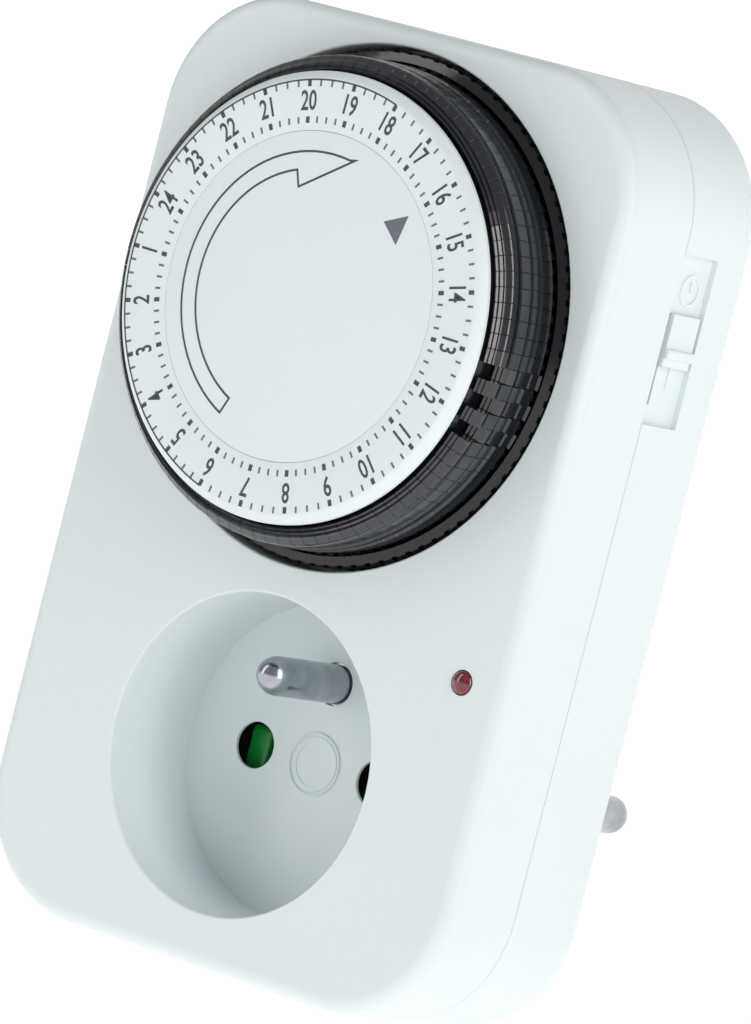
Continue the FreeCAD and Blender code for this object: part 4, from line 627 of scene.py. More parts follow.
@dataclass
class Housing:
    """The two covers and their screws."""

    corner: float = 16.0
    front_round: float = 2.0
    back_round: float = 1.5
    seam_bevel: float = 0.3
    wall: float = 2.2
    parting: float = -13.5
    lip: float = 0.35
    well_radius: float = 31.6
    well_wall: float = 1.4
    well_back: float = -20.3
    floor_back: float = -19.1
    eye_radius: float = 25.0
    dial_height: float = 55.0
    socket_radius: float = 19.5
    tube_wall: float = 2.1
    plate_front: float = -11.3
    tube_back: float = -9.1
    seat_radius: float = 20.2
    screw_across: float = 27.5
    screw_heights: tuple[float, float] = (-18.5, 81.5)
    lens_spot: tuple[float, float] = (29.3, 16.2)
    plug_radius: float = 19.3
    plug_hollow: float = 17.1
    plug_back: float = 21.0
    plug_end: float = 2.5
    contact_across: float = 9.5
    earth_height: float = 10.0
    recess: tuple[float, float, float, float] = (35.2, 50.5, 71.1, -6.7)
    slot: tuple[float, float, float] = (52.85, 63.9, -12.2)
    slot_sides: tuple[float, float] = (32.8, 36.0)
    post_radius: float = 3.0
    pilot_radius: float = 1.3
    pilot_start: float = 3.7
    eyelet_radius: float = 1.55
    window_across: tuple[float, float] = (23.0, 27.0)
    window_up: tuple[float, float] = (-15.6, -10.3)
    pillar_radius: float = 4.2
    sink_radius: float = 2.9
    sink_floor: float = -8.5
    shank_hole: float = 1.5
    pin_hole: float = 2.65
    earth_bore: float = 3.0
    clip_slot: tuple[float, float, float] = (3.0, 4.1, 17.6)
    past: float = 40.0
    cover: Span = field(default_factory=lambda: Span.of("front_cover"))

    @property
    def front(self) -> float:
        """The front face's Y."""
        return self.cover.low.y

    @property
    def screw_spots(self) -> list[tuple[float, float]]:
        """Each screw's X and Z."""
        return [(side * self.screw_across, height) for side in (-1, 1) for height in self.screw_heights]

    def upright(self, front: float, back: float, inset: float = 0.0) -> Form:
        """The housing's outline between two depths, moved in by an inset."""
        low, high = self.cover.low, self.cover.high
        left, right = low.x + inset, high.x - inset
        rounding = self.corner - inset
        corners = ((left, low.z + inset, rounding), (right, low.z + inset, rounding),
                   (right, high.z - inset, rounding), (left, high.z - inset, rounding))
        return Form.slab(corners, front, back, segments=16)

    def front_cover(self) -> Form:
        """The front cover with the dial's well, the socket's tube and the screw bosses."""
        shell = self.upright(self.front, self.parting)
        shell.softened(self.front_round, at_depth(self.front), 6)
        shell.softened(self.seam_bevel, at_depth(self.parting), 2)
        shell = shell.without(self.upright(self.front + self.wall, self.parting + 1.0, self.wall))
        inside = self.front + self.wall / 2.0
        dial = (0.0, self.dial_height)
        bosses = [Form.rod(self.post_radius, inside, self.parting - 0.01,
                           spot) for spot in self.screw_spots]
        shell = shell.with_added(
            Form.rod(self.well_radius + self.well_wall, inside, self.floor_back, dial, 160),
            Form.rod(self.socket_radius + self.tube_wall, inside, self.tube_back, steps=160), *bosses)
        over = self.front - 0.02
        well = ((0.0, over - 3.0), (self.well_radius + 2.0, over - 3.0), (self.well_radius + 2.0, over),
                (self.well_radius, over, self.lip), (self.well_radius, self.well_back, 0.3),
                (self.eye_radius, self.well_back), (self.eye_radius, self.floor_back + 1.0),
                (0.0, self.floor_back + 1.0))
        mouth = ((0.0, over - 3.0), (self.socket_radius + 2.0, over - 3.0),
                 (self.socket_radius + 2.0, over),
                 (self.socket_radius, over, self.lip), (self.socket_radius, self.plate_front),
                 (self.seat_radius, self.plate_front), (self.seat_radius, self.tube_back + 1.0),
                 (0.0, self.tube_back + 1.0))
        shell = shell.without(Form.turned(well, dial, closed=False, steps=192),
                              Form.turned(mouth, closed=False, steps=192))
        (left, right), (low, high) = self.window_across, self.window_up
        window = Form.block((left, self.well_back - 0.5, self.dial_height + low),
                            (right, self.floor_back + 0.5, self.dial_height + high))
        start = self.front + self.pilot_start
        pilots = [Form.rod(self.pilot_radius, start, self.parting + 1.0, spot) for spot in self.screw_spots]
        eyelet = Form.rod(self.eyelet_radius, self.front - 1.0, self.front + self.wall + 1.0,
                          self.lens_spot)
        return shell.without(window, eyelet, *pilots)

    def rear_cover(self) -> Form:
        """The rear cover with the plug's boss, the sunk screw holes and the slider's recess."""
        shell = self.upright(self.parting, 0.0)
        shell.softened(self.back_round, at_depth(0.0), 5)
        shell.softened(self.seam_bevel, at_depth(self.parting), 2)
        shell = shell.without(self.upright(self.parting - 1.0, -self.wall, self.wall))
        boss = ((0.0, -self.wall / 2.0), (self.plug_radius, -self.wall / 2.0),
                (self.plug_radius, self.plug_back, 0.8), (0.0, self.plug_back))
        pillars = [Form.rod(self.pillar_radius, self.parting + 0.01, -self.wall / 2.0,
                            spot) for spot in self.screw_spots]
        shell = shell.with_added(Form.turned(boss, closed=False, steps=160), *pillars)
        inner = self.plug_back - self.plug_end
        hollow = Form.rod(self.plug_hollow, -self.wall - 0.5, inner, steps=128)
        sinks = []
        for spot in self.screw_spots:
            sink = ((0.0, 1.0), (self.sink_radius, 1.0), (self.sink_radius, self.sink_floor),
                    (self.shank_hole, self.sink_floor), (self.shank_hole, self.parting - 1.0),
                    (0.0, self.parting - 1.0))
            sinks.append(Form.turned(sink, spot, closed=False, steps=48))
        recess_floor, low, high, back = self.recess
        recess = Form.slab(((recess_floor, low), (self.past, low), (self.past, high), (recess_floor, high)),
                           self.parting - 0.5, back)
        shell = shell.without(hollow, recess, *sinks)
        start, end = inner - 0.5, self.plug_back + 1.0
        holes = [Form.rod(self.pin_hole, start, end, (side * self.contact_across, 0.0)) for side in (-1, 1)]
        holes.append(Form.rod(self.earth_bore, start, end, (0.0, self.earth_height)))
        half, slot_front, slot_end = self.clip_slot
        for side in (-1, 1):
            near, far = sorted((side * (self.plug_hollow - 1.0), side * (self.plug_radius + 1.0)))
            holes.append(Form.block((-half, slot_front, near), (half, slot_end, far)))
        slot_low, slot_high, slot_back = self.slot
        left, right = self.slot_sides
        holes.append(Form.block((left, self.parting - 0.5, slot_low), (right, slot_back, slot_high)))
        return shell.without(*holes)

    def screws(self) -> Form:
        """The four housing screws with their cross slots."""
        group = Form()
        for across, up in self.screw_spots:
            section = ((0.0, self.front + 5.2), (0.5, self.front + 5.2), (1.25, self.front + 6.4),
                       (1.25, -8.5),
                       (2.7, -8.5, 0.2), (2.7, -6.9, 0.5), (0.0, -6.3))
            screw = Form.turned(section, (across, up), closed=False, steps=32)
            slots = Form.block((across - 1.7, -7.5, up - 0.3), (across + 1.7, -5.0, up + 0.3))
            cross = Form.block((across - 0.3, -7.5, up - 1.7), (across + 0.3, -5.0, up + 1.7))
            group.joined(screw.without(slots).without(cross))
        return group

    def build(self) -> None:
        """Makes the covers and the screws."""
        self.front_cover().piece("front_shell", CASE, Body.HOUSING, ["front_cover"], weighted=True)
        self.rear_cover().piece("rear_shell", CASE, Body.HOUSING, ["rear_cover"], weighted=True)
        self.screws().piece("housing_screws", SCREW, Body.HOUSING, ["case_screws"])


# Dial

@dataclass
class Dial:
    """The turning ring and drum, the fixed disc, and what is printed on them."""

    rest_angle: float = 103.6
    rest_hour: float = 20.0
    hours: int = 24
    quarters: int = 96
    number_radius: float = 23.2
    number_height: float = 2.45
    number_squeeze: float = 0.70
    inner_ticks: float = 21.0
    outer_ticks: float = 25.37
    tick_length: float = 0.78
    tick_width: float = 0.26
    hour_tick_width: float = 0.52
    print_depth: float = 0.02
    disc_radius: float = 19.7
    disc_gap: float = 0.05
    stroke: float = 0.05
    channel_floor: float = -23.9
    drum_inside: float = 25.35
    notch_width: float = 1.0
    rim_notch: float = 0.34
    rim_notch_back: float = -25.1
    rim_notch_share: float = 0.8
    channel: tuple[float, float] = (26.9, 29.7)
    skirt_wall: float = 0.9
    skirt_notch: float = 2.2
    hub_radius: float = 4.1
    stem_radius: float = 2.9
    arrow_radii: tuple[float, float] = (15.0, 17.4)
    arrow_line: float = 0.27
    arrow_tail: float = 246.5
    arrow_steps: int = 40
    ring: Span = field(default_factory=lambda: Span.of("number_ring"))
    drum: Span = field(default_factory=lambda: Span.of("dial_carrier"))

    @property
    def centre(self) -> tuple[float, float]:
        """The dial's axis, as X and Z."""
        return self.ring.centre.x, self.ring.centre.z

    @property
    def face(self) -> float:
        """The Y of the white face, a print's depth behind the ring's own."""
        return self.ring.low.y + self.print_depth

    def bearing(self, hour: float) -> float:
        """An hour's direction, anticlockwise from the right, seen from the front."""
        return math.radians(self.rest_angle + (hour - self.rest_hour) * 15.0)

    def white_ring(self) -> Form:
        """The white ring with its bevelled rim."""
        radius = self.ring.size.x / 2.0
        back = self.ring.high.y
        inside = self.disc_radius + self.disc_gap
        section = ((inside, self.face, 0.03), (radius - 1.0, self.face, 0.25),
                   (radius, self.face + 1.0, 0.12), (radius, back), (inside, back))
        return Form.turned(section, self.centre, steps=256, segments=3)

    def disc(self) -> Form:
        """The fixed disc and its stem."""
        back = self.face + 1.18
        section = ((0.0, self.face), (self.disc_radius, self.face, 0.03), (self.disc_radius, back),
                   (self.stem_radius, back),
                   (self.stem_radius, back + 3.8, 0.4), (0.0, back + 3.8))
        return Form.turned(section, self.centre, closed=False, steps=256, segments=3)

    def black_drum(self) -> Form:
        """The drum with its hub, tappet channel, polished flange and notched skirt."""
        outer = self.drum.size.x / 2.0
        front = self.ring.high.y
        skirt = self.drum.high.y
        floor_back = self.channel_floor + 0.8
        inside, rim = self.channel
        thin = outer - self.skirt_wall
        section = ((self.hub_radius, front), (inside, front), (inside, self.channel_floor, 0.2),
                   (rim, self.channel_floor, 0.2), (rim, -26.3, 0.15), (outer, -25.8, 0.3),
                   (outer, skirt, 0.15),
                   (thin, skirt), (thin, floor_back), (self.drum_inside, floor_back),
                   (self.drum_inside, front + 1.6), (7.0, front + 1.6), (7.0, -23.5),
                   (self.hub_radius, -23.5))
        drum = Form.turned(section, steps=288, segments=3)
        notch_low = skirt - self.skirt_notch
        notches = []
        half = self.notch_width / 2.0
        narrow = half * self.rim_notch_share
        for index in range(self.quarters):
            turn = -self.bearing(index / 4.0)
            notches.append(Form.block((27.5, notch_low, -half),
                                      (outer + 0.5, skirt + 0.5, half)).rotated(turn))
            notches.append(Form.block((outer - self.rim_notch, -26.5, -narrow),
                                      (outer + 0.5, self.rim_notch_back, narrow)).rotated(turn))
        return drum.without(*notches).moved(self.centre[0], 0.0, self.centre[1])

    def _bar(self, radius: float, hour: float, length: float, width: float) -> Form:
        """One printed tick, centred on a radius."""
        bar = Form.block((radius - length / 2.0, -self.print_depth, -width / 2.0),
                         (radius + length / 2.0, 0.0, width / 2.0))
        return bar.rotated(-self.bearing(hour)).moved(self.centre[0], self.face, self.centre[1])

    def _arc(self, inner: float, outer: float, first_hour: float, last_hour: float, steps: int) -> Form:
        """A printed arc between two hours."""
        form = Form.block((inner, -self.print_depth, -0.02), (outer, 0.0, 0.02))
        mesh = form.mesh
        end = [face for face in mesh.faces if face.calc_center_median().z > 0.019]
        turn = -math.radians((last_hour - first_hour) * 15.0)
        bmesh.ops.spin(mesh, geom=end, cent=(0.0, 0.0, 0.0), axis=(0.0, 1.0, 0.0), dvec=(0.0, 0.0, 0.0),
                       angle=turn, steps=steps, use_merge=False)
        form.faced().rotated(-self.bearing(first_hour))
        return form.moved(self.centre[0], self.face, self.centre[1])

    def hour_marks(self) -> Form:
        """The bold ticks at the hours and the arc over the night hours."""
        marks = Form()
        for hour in range(self.hours):
            for radius in (self.inner_ticks, self.outer_ticks):
                marks.joined(self._bar(radius, hour, self.tick_length, self.hour_tick_width))
        reach = self.outer_ticks + self.tick_length / 2.0
        return marks.joined(self._arc(reach - 0.06, reach + 0.14, 18.0, 30.0, 90))

    def quarter_marks(self) -> Form:
        """The thin ticks at the quarters."""
        marks = Form()
        for index in range(self.quarters):
            if index % 4:
                for radius in (self.inner_ticks, self.outer_ticks):
                    marks.joined(self._bar(radius, index / 4.0, self.tick_length, self.tick_width))
        return marks

    def _lettering(self, text: str, height: float) -> Form:
        """Plain figures as a thin mesh that faces the front, centred on the origin."""
        curve = bpy.data.curves.new("figures", "FONT")
        curve.body = text
        curve.size = height * 1.37
        curve.align_x = "CENTER"
        curve.align_y = "CENTER"
        curve.extrude = self.print_depth / 2.0
        curve.resolution_u = 3
        curve.offset = self.stroke
        holder = bpy.data.objects.new("figures", curve)
        bpy.context.scene.collection.objects.link(holder)
        graph = bpy.context.evaluated_depsgraph_get()
        form = Form.of_mesh(bpy.data.meshes.new_from_object(holder.evaluated_get(graph)))
        bpy.data.objects.remove(holder)
        bpy.data.curves.remove(curve)
        bmesh.ops.remove_doubles(form.mesh, verts=form.mesh.verts[:], dist=1e-5)
        bmesh.ops.scale(form.mesh, verts=form.mesh.verts[:], vec=(self.number_squeeze, 1.0, 1.0))
        return form.rotated(math.pi / 2.0, "X")

    def numbers(self) -> Form:
        """The hours from 1 to 24, tops outward."""
        group = Form()
        for hour in range(1, self.hours + 1):
            bearing = self.bearing(hour)
            figure = self._lettering(str(hour), self.number_height)
            figure.moved(0.0, -self.print_depth / 2.0, self.number_radius)
            figure.rotated(-(bearing - math.pi / 2.0))
            group.joined(figure.moved(self.centre[0], self.face, self.centre[1]))
        return group

    def triangle(self) -> Form:
        """The small filled triangle on the disc that marks the present time."""
        corners = ((9.7, 11.2), (13.05, 12.6), (12.25, 8.9))
        return Form.slab(corners, self.face - self.print_depth, self.face).moved(self.centre[0], 0.0,
                                                                                 self.centre[1])

    def arrow(self) -> Form:
        """The outlined arrow that shows which way the dial is set."""
        inner, outer = self.arrow_radii
        tail = math.radians(self.arrow_tail)
        start = self.arrow_tail
        outline = [(outer * math.cos(tail), outer * math.sin(tail)),
                   (inner * math.cos(tail), inner * math.sin(tail))]
        shoulder = math.degrees(math.atan2(14.55, -4.8))
        steps = self.arrow_steps
        for step in range(1, steps + 1):
            bearing = math.radians(start + (shoulder - start) * step / steps)
            outline.append((inner * math.cos(bearing), inner * math.sin(bearing)))
        outline += [(-3.9, 12.3), (4.0, 17.4)]
        reach = math.degrees(math.atan2(17.4, 4.0))
        for step in range(1, steps + 1):
            bearing = math.radians(reach + (start - reach) * step / steps)
            outline.append((outer * math.cos(bearing), outer * math.sin(bearing)))
        return self._outlined(outline[:-1], self.arrow_line)

    def _outlined(self, corners: Sequence[Corner], line: float) -> Form:
        """A printed line that follows a closed outline."""
        form = Form.slab(corners, self.face - self.print_depth, self.face, segments=1)
        mesh = form.mesh
        caps = [face for face in mesh.faces if abs(face.normal.y) > 0.9]
        bmesh.ops.inset_region(mesh, faces=caps, thickness=line, use_even_offset=True)
        caps = [face for face in mesh.faces if abs(face.normal.y) > 0.9 and len(face.verts) > 8]
        rings = [edge for face in caps for edge in face.edges]
        bmesh.ops.delete(mesh, geom=caps, context="FACES_ONLY")
        bmesh.ops.bridge_loops(mesh, edges=[edge for edge in rings if edge.is_valid])
        return form.faced().moved(self.centre[0], 0.0, self.centre[1])

    def build(self) -> None:
        """Makes the dial's pieces and prints."""
        self.white_ring().piece("white_ring", DIAL_WHITE, Body.DIAL, ["number_ring"])
        self.disc().piece("white_disc", DIAL_WHITE, Body.HOUSING, ["centre_disc"])
        self.black_drum().piece("black_drum", POLISHED, Body.DIAL, ["dial_carrier"], weighted=True)
        self.hour_marks().piece("hour_marks", INK, Body.DIAL)
        self.quarter_marks().piece("quarter_marks", INK_SOFT, Body.DIAL)
        self.numbers().piece("hour_numbers", INK, Body.DIAL)
        self.triangle().piece("time_triangle", INK_SOFT, Body.HOUSING)
        self.arrow().piece("turning_arrow", INK, Body.HOUSING)


@dataclass
class Tappets:
    """The ribbed black tappets round the dial, one for each quarter of an hour."""

    dial: Dial
    width: float = 3.68
    edge: float = 0.04
    travel: float = 2.5
    inner: float = 27.2
    loose: tuple[tuple[str, float, bool], ...] = (
        ("tappet_1145", 11.75, True), ("tappet_1200", 12.0, False), ("tappet_1215", 12.25, True),
        ("tappet_1230", 12.5, False), ("tappet_1245", 12.75, True))

    def section(self) -> list[tuple[float, float]]:
        """The tappet's outline as radius and Y: ribs on top, a rounded shoulder, a groove and two ridges."""
        face = -26.5
        heights = ((27.2, 8.75), (27.45, 8.85), (27.68, 8.5), (27.9, 8.68), (28.15, 8.3), (28.38, 8.42),
                   (28.62, 8.1), (28.95, 7.9), (29.2, 7.55), (29.3, 7.0), (28.85, 6.8), (28.85, 6.3),
                   (29.25, 6.1), (29.25, 4.4), (29.0, 4.2), (29.45, 4.0), (29.45, 3.25), (29.1, 3.05),
                   (29.1, 2.35), (29.45, 2.15), (29.45, 0.3), (29.25, 0.1), (27.2, 0.1))
        return [(radius, face - height) for radius, height in heights]

    def one(self, hour: float, pushed: bool = False) -> Form:
        """One tappet at its hour, with its foot."""
        form = Form.outlined(self.section(), True, 1, lambda radius, depth: Vector((radius, depth, 0.0)))
        mesh = form.mesh
        bmesh.ops.contextual_create(mesh, geom=mesh.edges[:])
        half = math.radians(self.width) / 2.0
        bmesh.ops.rotate(mesh, verts=mesh.verts[:], cent=(0.0, 0.0, 0.0),
                         matrix=Matrix.Rotation(half, 3, "Y"))
        bmesh.ops.spin(mesh, geom=mesh.faces[:], cent=(0.0, 0.0, 0.0), axis=(0.0, 1.0, 0.0),
                       dvec=(0.0, 0.0, 0.0), angle=-2.0 * half, steps=1, use_merge=False)
        form.faced()
        caps = [face for face in mesh.faces if len(face.verts) > 8]
        edges = {edge for face in caps for edge in face.edges}
        bmesh.ops.bevel(mesh, geom=list(edges), offset=self.edge, offset_type="OFFSET", affect="EDGES",
                        segments=1,
                        profile=0.5, material=-1)
        foot = Form.block((27.8, -26.9, -0.35), (29.2, -23.5, 0.35))
        form.joined(foot)
        depth = self.travel if pushed else 0.0
        form.rotated(-self.dial.bearing(hour))
        return form.moved(self.dial.centre[0], depth, self.dial.centre[1])

    def build(self) -> None:
        """Makes the ring of raised tappets and the five loose ones."""
        taken = {round(hour * 4.0) for name, hour, pushed in self.loose}
        ring = Form()
        for index in range(self.dial.quarters):
            if index not in taken:
                ring.joined(self.one(index / 4.0))
        ring.piece("tappet_ring", TAPPET, Body.DIAL, ["tappets_up"])
        for name, hour, pushed in self.loose:
            self.one(hour, pushed).piece(name + "_ribbed", TAPPET, Body(name), [name])


# Socket and plug

@dataclass
class Socket:
    """The socket's floor, earth pin and shutter, and the indicator's lens."""

    plate: Span = field(default_factory=lambda: Span.of("socket_plate"))
    pin: Span = field(default_factory=lambda: Span.of("earth_pin"))
    shutter: Span = field(default_factory=lambda: Span.of("safety_shutter"))
    lens: Span = field(default_factory=lambda: Span.of("indicator_lens"))
    floor: float = -11.3
    floor_back: float = -9.1
    contact_across: float = 9.5
    hole_radius: float = 2.85
    hole_lip: float = 0.45
    hole_widened: float = 4.6
    pad: Corner = (3.4, 4.6)
    pad_shift: float = 1.5

    def floor_plate(self) -> Form:
        """The round floor with its holes, the shutter's guides and a bare raised ring in the middle."""
        radius = self.plate.size.x / 2.0
        disc = Form.turned(((0.0, self.floor), (radius, self.floor), (radius, self.floor_back),
                            (0.0, self.floor_back)),
                           closed=False, steps=128)
        ribs = []
        for side in (-1, 1):
            near, far = sorted((side * 3.35, side * 4.35))
            ribs.append(Form.block((-17.8, self.floor_back - 1.0, near), (17.8, self.plate.high.y, far)))
        medal = ((2.75, self.floor + 0.5), (2.75, self.floor - 0.13, 0.1), (3.35, self.floor - 0.13, 0.1),
                 (3.35, self.floor + 0.5))
        rim = ((3.6, self.floor + 0.5), (3.6, self.floor - 0.24, 0.1), (3.85, self.floor - 0.24, 0.1),
               (3.85, self.floor + 0.5))
        disc = disc.with_added(Form.turned(medal, steps=72), Form.turned(rim, steps=72), *ribs)
        holes = []
        for side in (-1, 1):
            over = self.floor - 0.02
            lip = self.floor + self.hole_lip
            hole = ((0.0, over - 1.0), (self.hole_radius + 1.0, over - 1.0), (self.hole_radius + 1.0, over),
                    (self.hole_radius, over, 0.15), (self.hole_radius, lip), (self.hole_widened, lip),
                    (self.hole_widened, self.floor_back + 1.0), (0.0, self.floor_back + 1.0))
            holes.append(Form.turned(hole, (side * self.contact_across, 0.0), closed=False, steps=64))
        holes.append(Form.rod(2.65, self.floor - 1.0, self.floor_back + 1.0, (0.0, self.pin.centre.z)))
        return disc.without(*holes)

    def earth_pin(self) -> Form:
        """The bullet-nosed earth pin with its groove, collar and shank."""
        tip = self.pin.low.y
        section = [(0.0, tip)]
        nose, radius = 3.0, 2.4
        for step in range(1, 10):
            lean = math.radians(step * 10.0)
            section.append((radius * math.sin(lean), tip + nose * (1.0 - math.cos(lean))))
        seat = self.floor + 0.5
        section += [(radius, seat), (radius + 0.2, seat), (radius + 0.2, self.floor_back),
                    (3.4, self.floor_back),
                    (3.4, self.floor_back + 0.8), (1.9, self.floor_back + 0.8), (1.9, self.pin.high.y),
                    (0.0, self.pin.high.y)]
        return Form.turned(section, (0.0, self.pin.centre.z), closed=False, steps=64)

    def green_shutter(self) -> Form:
        """The sliding shutter: two pads with ramped, rounded fronts and a bar between them."""
        low, high = self.shutter.low, self.shutter.high
        pads = []
        for side in (-1, 1):
            middle = side * self.contact_across - self.pad_shift
            left, right = middle - self.pad[0] / 2.0, middle + self.pad[0] / 2.0
            foot, top = low.z, low.z + (high.z - low.z + self.pad[1]) / 2.0
            pad = Form.slab(((left, foot, 0.8), (right, foot, 0.8), (right, top, 0.8), (left, top, 0.8)),
                            low.y, high.y, segments=5)
            pads.append(pad.softened(0.7, at_depth(low.y), 4))
        bar = Form.block((-8.6, low.y + 1.1, low.z), (8.6, high.y, low.z + 0.9))
        return pads[0].with_added(bar).with_added(pads[1])

    def dome(self) -> Form:
        """The indicator's domed lens with its flange behind the cover."""
        top = self.lens.low.y
        face = -26.5
        section = ((0.0, top), (0.55, top + 0.06), (1.0, top + 0.22), (1.32, top + 0.46), (1.5, top + 0.85),
                   (1.5, face + 2.2), (2.3, face + 2.2), (2.3, self.lens.high.y), (0.0, self.lens.high.y))
        centre = (self.lens.centre.x, self.lens.centre.z)
        return Form.turned(section, centre, closed=False, steps=48)

    def build(self) -> None:
        """Makes the socket's pieces."""
        self.floor_plate().piece("socket_floor", CASE, Body.HOUSING, ["socket_plate"], weighted=True)
        self.earth_pin().piece("bullet_pin", NICKEL, Body.HOUSING, ["earth_pin"])
        self.green_shutter().piece("green_shutter", SHUTTER_GREEN, Body.SHUTTER, ["safety_shutter"],
                                   weighted=True)
        self.dome().piece("red_lens", LENS_RED, Body.HOUSING, ["indicator_lens"])


@dataclass
class Plug:
    """The plug's two pins."""

    line: Span = field(default_factory=lambda: Span.of("line_pin"))
    boss_back: float = 21.0
    boss_inside: float = 18.5
    radius: float = 2.4
    nose: float = 2.4

    def pin(self, side: int) -> Form:
        """One pin with its collar and rounded nose."""
        tip, foot = self.line.high.y, self.line.low.y
        section = [(0.0, foot), (3.5, foot, 0.2), (3.5, self.boss_inside),
                   (self.radius + 0.2, self.boss_inside),
                   (self.radius + 0.2, self.boss_back), (self.radius, self.boss_back)]
        for step in range(0, 9):
            lean = math.radians(step * 10.0)
            section.append((self.radius * math.cos(lean), tip - self.nose * (1.0 - math.sin(lean))))
        section.append((0.0, tip))
        return Form.turned(section, (side * self.line.centre.x, 0.0), closed=False, steps=64)

    def build(self) -> None:
        """Makes both pins."""
        self.pin(1).piece("round_pin_right", NICKEL, Body.HOUSING, ["line_pin"])
        self.pin(-1).piece("round_pin_left", NICKEL, Body.HOUSING, ["neutral_pin"])


@dataclass
class Override:
    """The slider in the right side and the raised signs beside it."""

    knob_low: float = 57.6
    knob_high: float = 64.0
    floor: float = 35.2
    front: float = -12.5
    back: float = -7.1

    def slider(self) -> Form:
        """The knob with its grip ridge, the stem and the inner bar."""
        plate = Form.block((35.35, self.front, self.knob_low), (35.95, self.back, self.knob_high))
        plate.softened(0.15, lambda edge: all(vert.co.x > 35.9 for vert in edge.verts), 2)
        ridge = Form.block((35.5, self.front, 58.6), (36.45, self.back, 59.8))
        ridge.softened(0.25, lambda edge: all(vert.co.x > 36.4 for vert in edge.verts), 3)
        stem = Form.block((32.1, self.front, 58.2), (35.65, -12.3, 63.75))
        bar = Form.block((32.05, -13.35, 54.2), (33.65, -7.5, 63.75))
        return plate.with_added(ridge).with_added(stem).with_added(bar)

    def signs(self) -> Form:
        """Raised plain signs: a clock's ring with two hands above the knob and an upright bar below it."""
        relief = 0.25
        middle = (self.front + self.back) / 2.0
        ring = Form.turned(((1.55, 0.0), (1.55, -relief, 0.05), (1.95, -relief, 0.05), (1.95, 0.0)),
                           steps=48)
        hands = [Form.block((-0.17, -relief, -0.1), (0.17, 0.0, 1.2)),
                 Form.block((0.1, -relief, -0.17), (0.95, 0.0, 0.17))]
        bar = Form.block((-0.2, -relief, -11.9), (0.2, 0.0, -8.9))
        group = ring.joined(hands[0].with_added(hands[1]), bar)
        group.rotated(math.pi / 2.0, "Z")
        return group.moved(self.floor - 0.01, middle, 66.9)

    def build(self) -> None:
        """Makes the slider and the signs."""
        self.slider().piece("side_slider", CASE, Body.OVERRIDE, ["override_slider"], weighted=True)
        self.signs().piece("side_signs", CASE, Body.HOUSING)


class Works:
    """The finishes of the inner CAD nodes, whose shapes are kept."""

    FINISHES: dict[str, Finish] = {
        "earth_sleeve": BRASS, "earth_strap": NICKEL, "contact_block": THERMOSET, "line_clip": BRASS,
        "neutral_clip": BRASS, "neutral_link": BRASS, "line_bar": BRASS, "load_bar": BRASS,
        "switch_base": THERMOSET, "lever_pin": ZINC, "sensing_lever": LEVER_RED, "contact_blade": BRASS,
        "fixed_contact": BRASS, "override_bridge": BRASS, "override_contacts": BRASS,
                                   "terminal_block": THERMOSET,
        "dial_post": ACETAL, "drive_pinion": ACETAL, "clutch_wheel": ACETAL, "clutch_spring": ZINC,
        "wheel_first": ACETAL, "wheel_second": ACETAL, "gear_arbors": ZINC, "gear_plate": ZINC,
        "motor_plate": ZINC, "plate_pillars": ZINC, "module_screws": SCREW, "stator_cup": ZINC,
        "coil_bobbin": NYLON, "coil_winding": COPPER, "rotor": FERRITE, "rotor_arbor": ZINC,
        "neon_lamp": LAMP_GLASS, "lamp_resistor": RESISTOR,
    }
    REPLACED: dict[str, Finish] = {
        "front_cover": CASE, "rear_cover": CASE, "case_screws": SCREW, "number_ring": DIAL_WHITE,
        "centre_disc": DIAL_WHITE, "dial_carrier": POLISHED, "tappets_up": TAPPET, "tappet_1145": TAPPET,
        "tappet_1200": TAPPET, "tappet_1215": TAPPET, "tappet_1230": TAPPET, "tappet_1245": TAPPET,
        "socket_plate": CASE, "earth_pin": NICKEL, "safety_shutter": SHUTTER_GREEN,
                                   "indicator_lens": LENS_RED,
        "line_pin": NICKEL, "neutral_pin": NICKEL, "override_slider": CASE,
    }

    def build(self) -> None:
        """Puts each finish on its node."""
        for name, finish in {**self.FINISHES, **self.REPLACED}.items():
            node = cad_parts[name]
            if not node.material_slots:
                node.data.materials.append(finish.material())
            for slot in node.material_slots:
                slot.material = finish.material()
        log.info("%d nodes dressed", len(self.FINISHES) + len(self.REPLACED))


# Studio

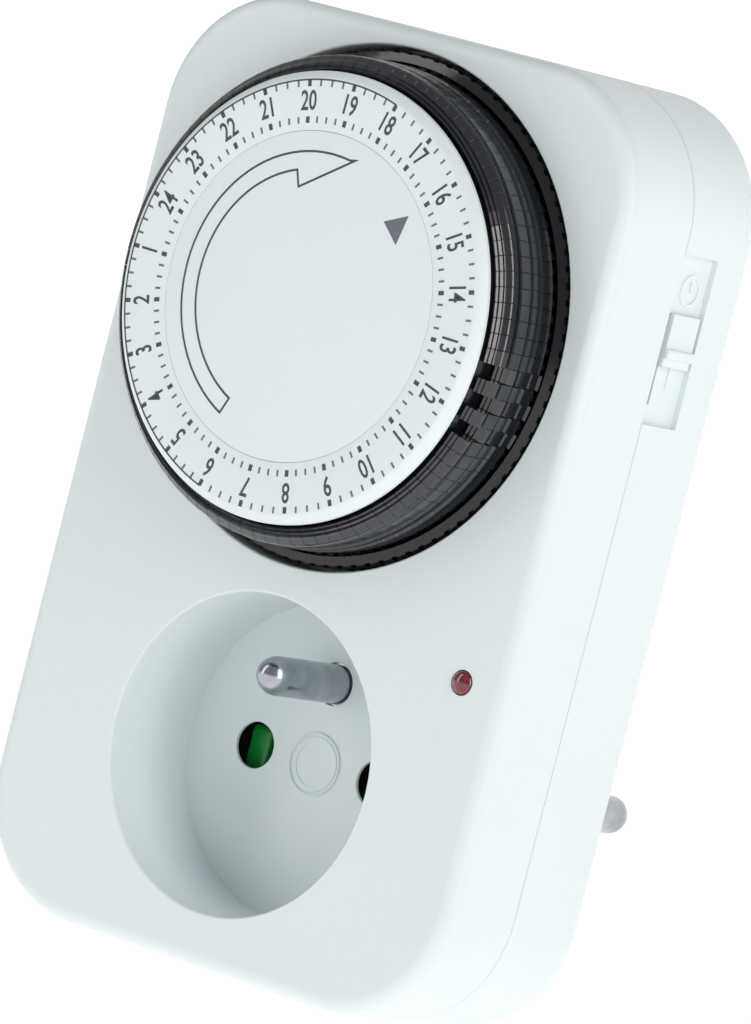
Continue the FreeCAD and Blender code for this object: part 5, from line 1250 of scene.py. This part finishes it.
@dataclass
class Studio:
    """The floor, the lights and the camera."""

    floor_height: float = -60.0
    reach: float = 2500.0
    floor_glow: float = 0.55
    camera_place: Corner = (0.629469, -0.851674, 0.093805)
    camera_turn: Corner = (0.6565939734, 0.6725000531, 0.1343773113, 0.3139598237)
    lens: float = 307.17628

    def floor(self) -> None:
        """A pale floor under the object and a backdrop behind it."""
        reach, height = self.reach, self.floor_height
        form = Form.block((-reach, -reach, height - 2.0), (reach, reach, height))
        form.joined(Form.block((-reach, reach, height), (reach, reach + 2.0, reach)))
        bmesh.ops.scale(form.mesh, verts=form.mesh.verts[:], vec=(METRES, METRES, METRES))
        data = bpy.data.meshes.new("studio_floor")
        form.mesh.to_mesh(data)
        form.mesh.free()
        bench = Bench("studio_floor")
        tone = bench.noise(400.0, 2.0)
        data.materials.append(bench.surface(Base_Color=bench.blend(tone, (0.93, 0.93, 0.93),
                                                                   (0.90, 0.90, 0.90)),
                                            Roughness=0.9, Emission_Color=(1.0, 1.0, 1.0, 1.0),
                                            Emission_Strength=self.floor_glow))
        made = bpy.data.objects.new("studio_floor", data)
        bpy.context.scene.collection.objects.link(made)

    def light(self, name: str, place: Corner, power: float, width: float, height: float) -> None:
        """A soft upright light that faces the object.

        Args:
            name: The light's name.
            place: Its place in metres.
            power: Its power in watts.
            width: Its width in metres.
            height: Its height in metres.
        """
        lamp = bpy.data.lights.new(name, "AREA")
        lamp.energy = power
        lamp.shape = "RECTANGLE"
        lamp.size = width
        lamp.size_y = height
        made = bpy.data.objects.new(name, lamp)
        made.location = place
        aim = Vector((0.0, -0.02, 0.03)) - Vector(place)
        made.rotation_mode = "QUATERNION"
        made.rotation_quaternion = aim.to_track_quat("-Z", "Y")
        bpy.context.scene.collection.objects.link(made)

    def sky(self, strength: float) -> None:
        """An even white surround."""
        world = bpy.data.worlds.new("surround")
        world.use_nodes = True
        background = world.node_tree.nodes["Background"]
        background.inputs["Color"].default_value = (1.0, 1.0, 1.0, 1.0)
        background.inputs["Strength"].default_value = strength
        bpy.context.scene.world = world

    def camera(self) -> None:
        """The camera at the photograph's angle."""
        data = bpy.data.cameras.new("camera")
        data.lens = self.lens
        data.sensor_width = 36.0
        data.clip_end = 20.0
        made = bpy.data.objects.new("camera", data)
        made.rotation_mode = "QUATERNION"
        made.location = self.camera_place
        made.rotation_quaternion = Quaternion(self.camera_turn)
        bpy.context.scene.collection.objects.link(made)
        bpy.context.scene.camera = made

    def build(self) -> None:
        """Sets up the studio."""
        self.floor()
        self.sky(0.32)
        self.light("key_right", (1.2, -0.42, 0.35), 10.0, 0.35, 1.7)
        self.light("fill_left", (-0.9, -0.95, 0.5), 4.0, 0.35, 1.5)
        self.camera()
        bpy.context.scene.view_settings.view_transform = "Standard"
        bpy.context.scene.view_settings.look = "None"


def main() -> None:
    """Builds the sub-assemblies in order."""
    logging.basicConfig(level=logging.INFO, format="%(message)s")
    Studio().build()
    Works().build()
    Housing().build()
    dial = Dial()
    dial.build()
    Tappets(dial).build()
    Socket().build()
    Plug().build()
    Override().build()


if __name__ == "__main__":
    main()
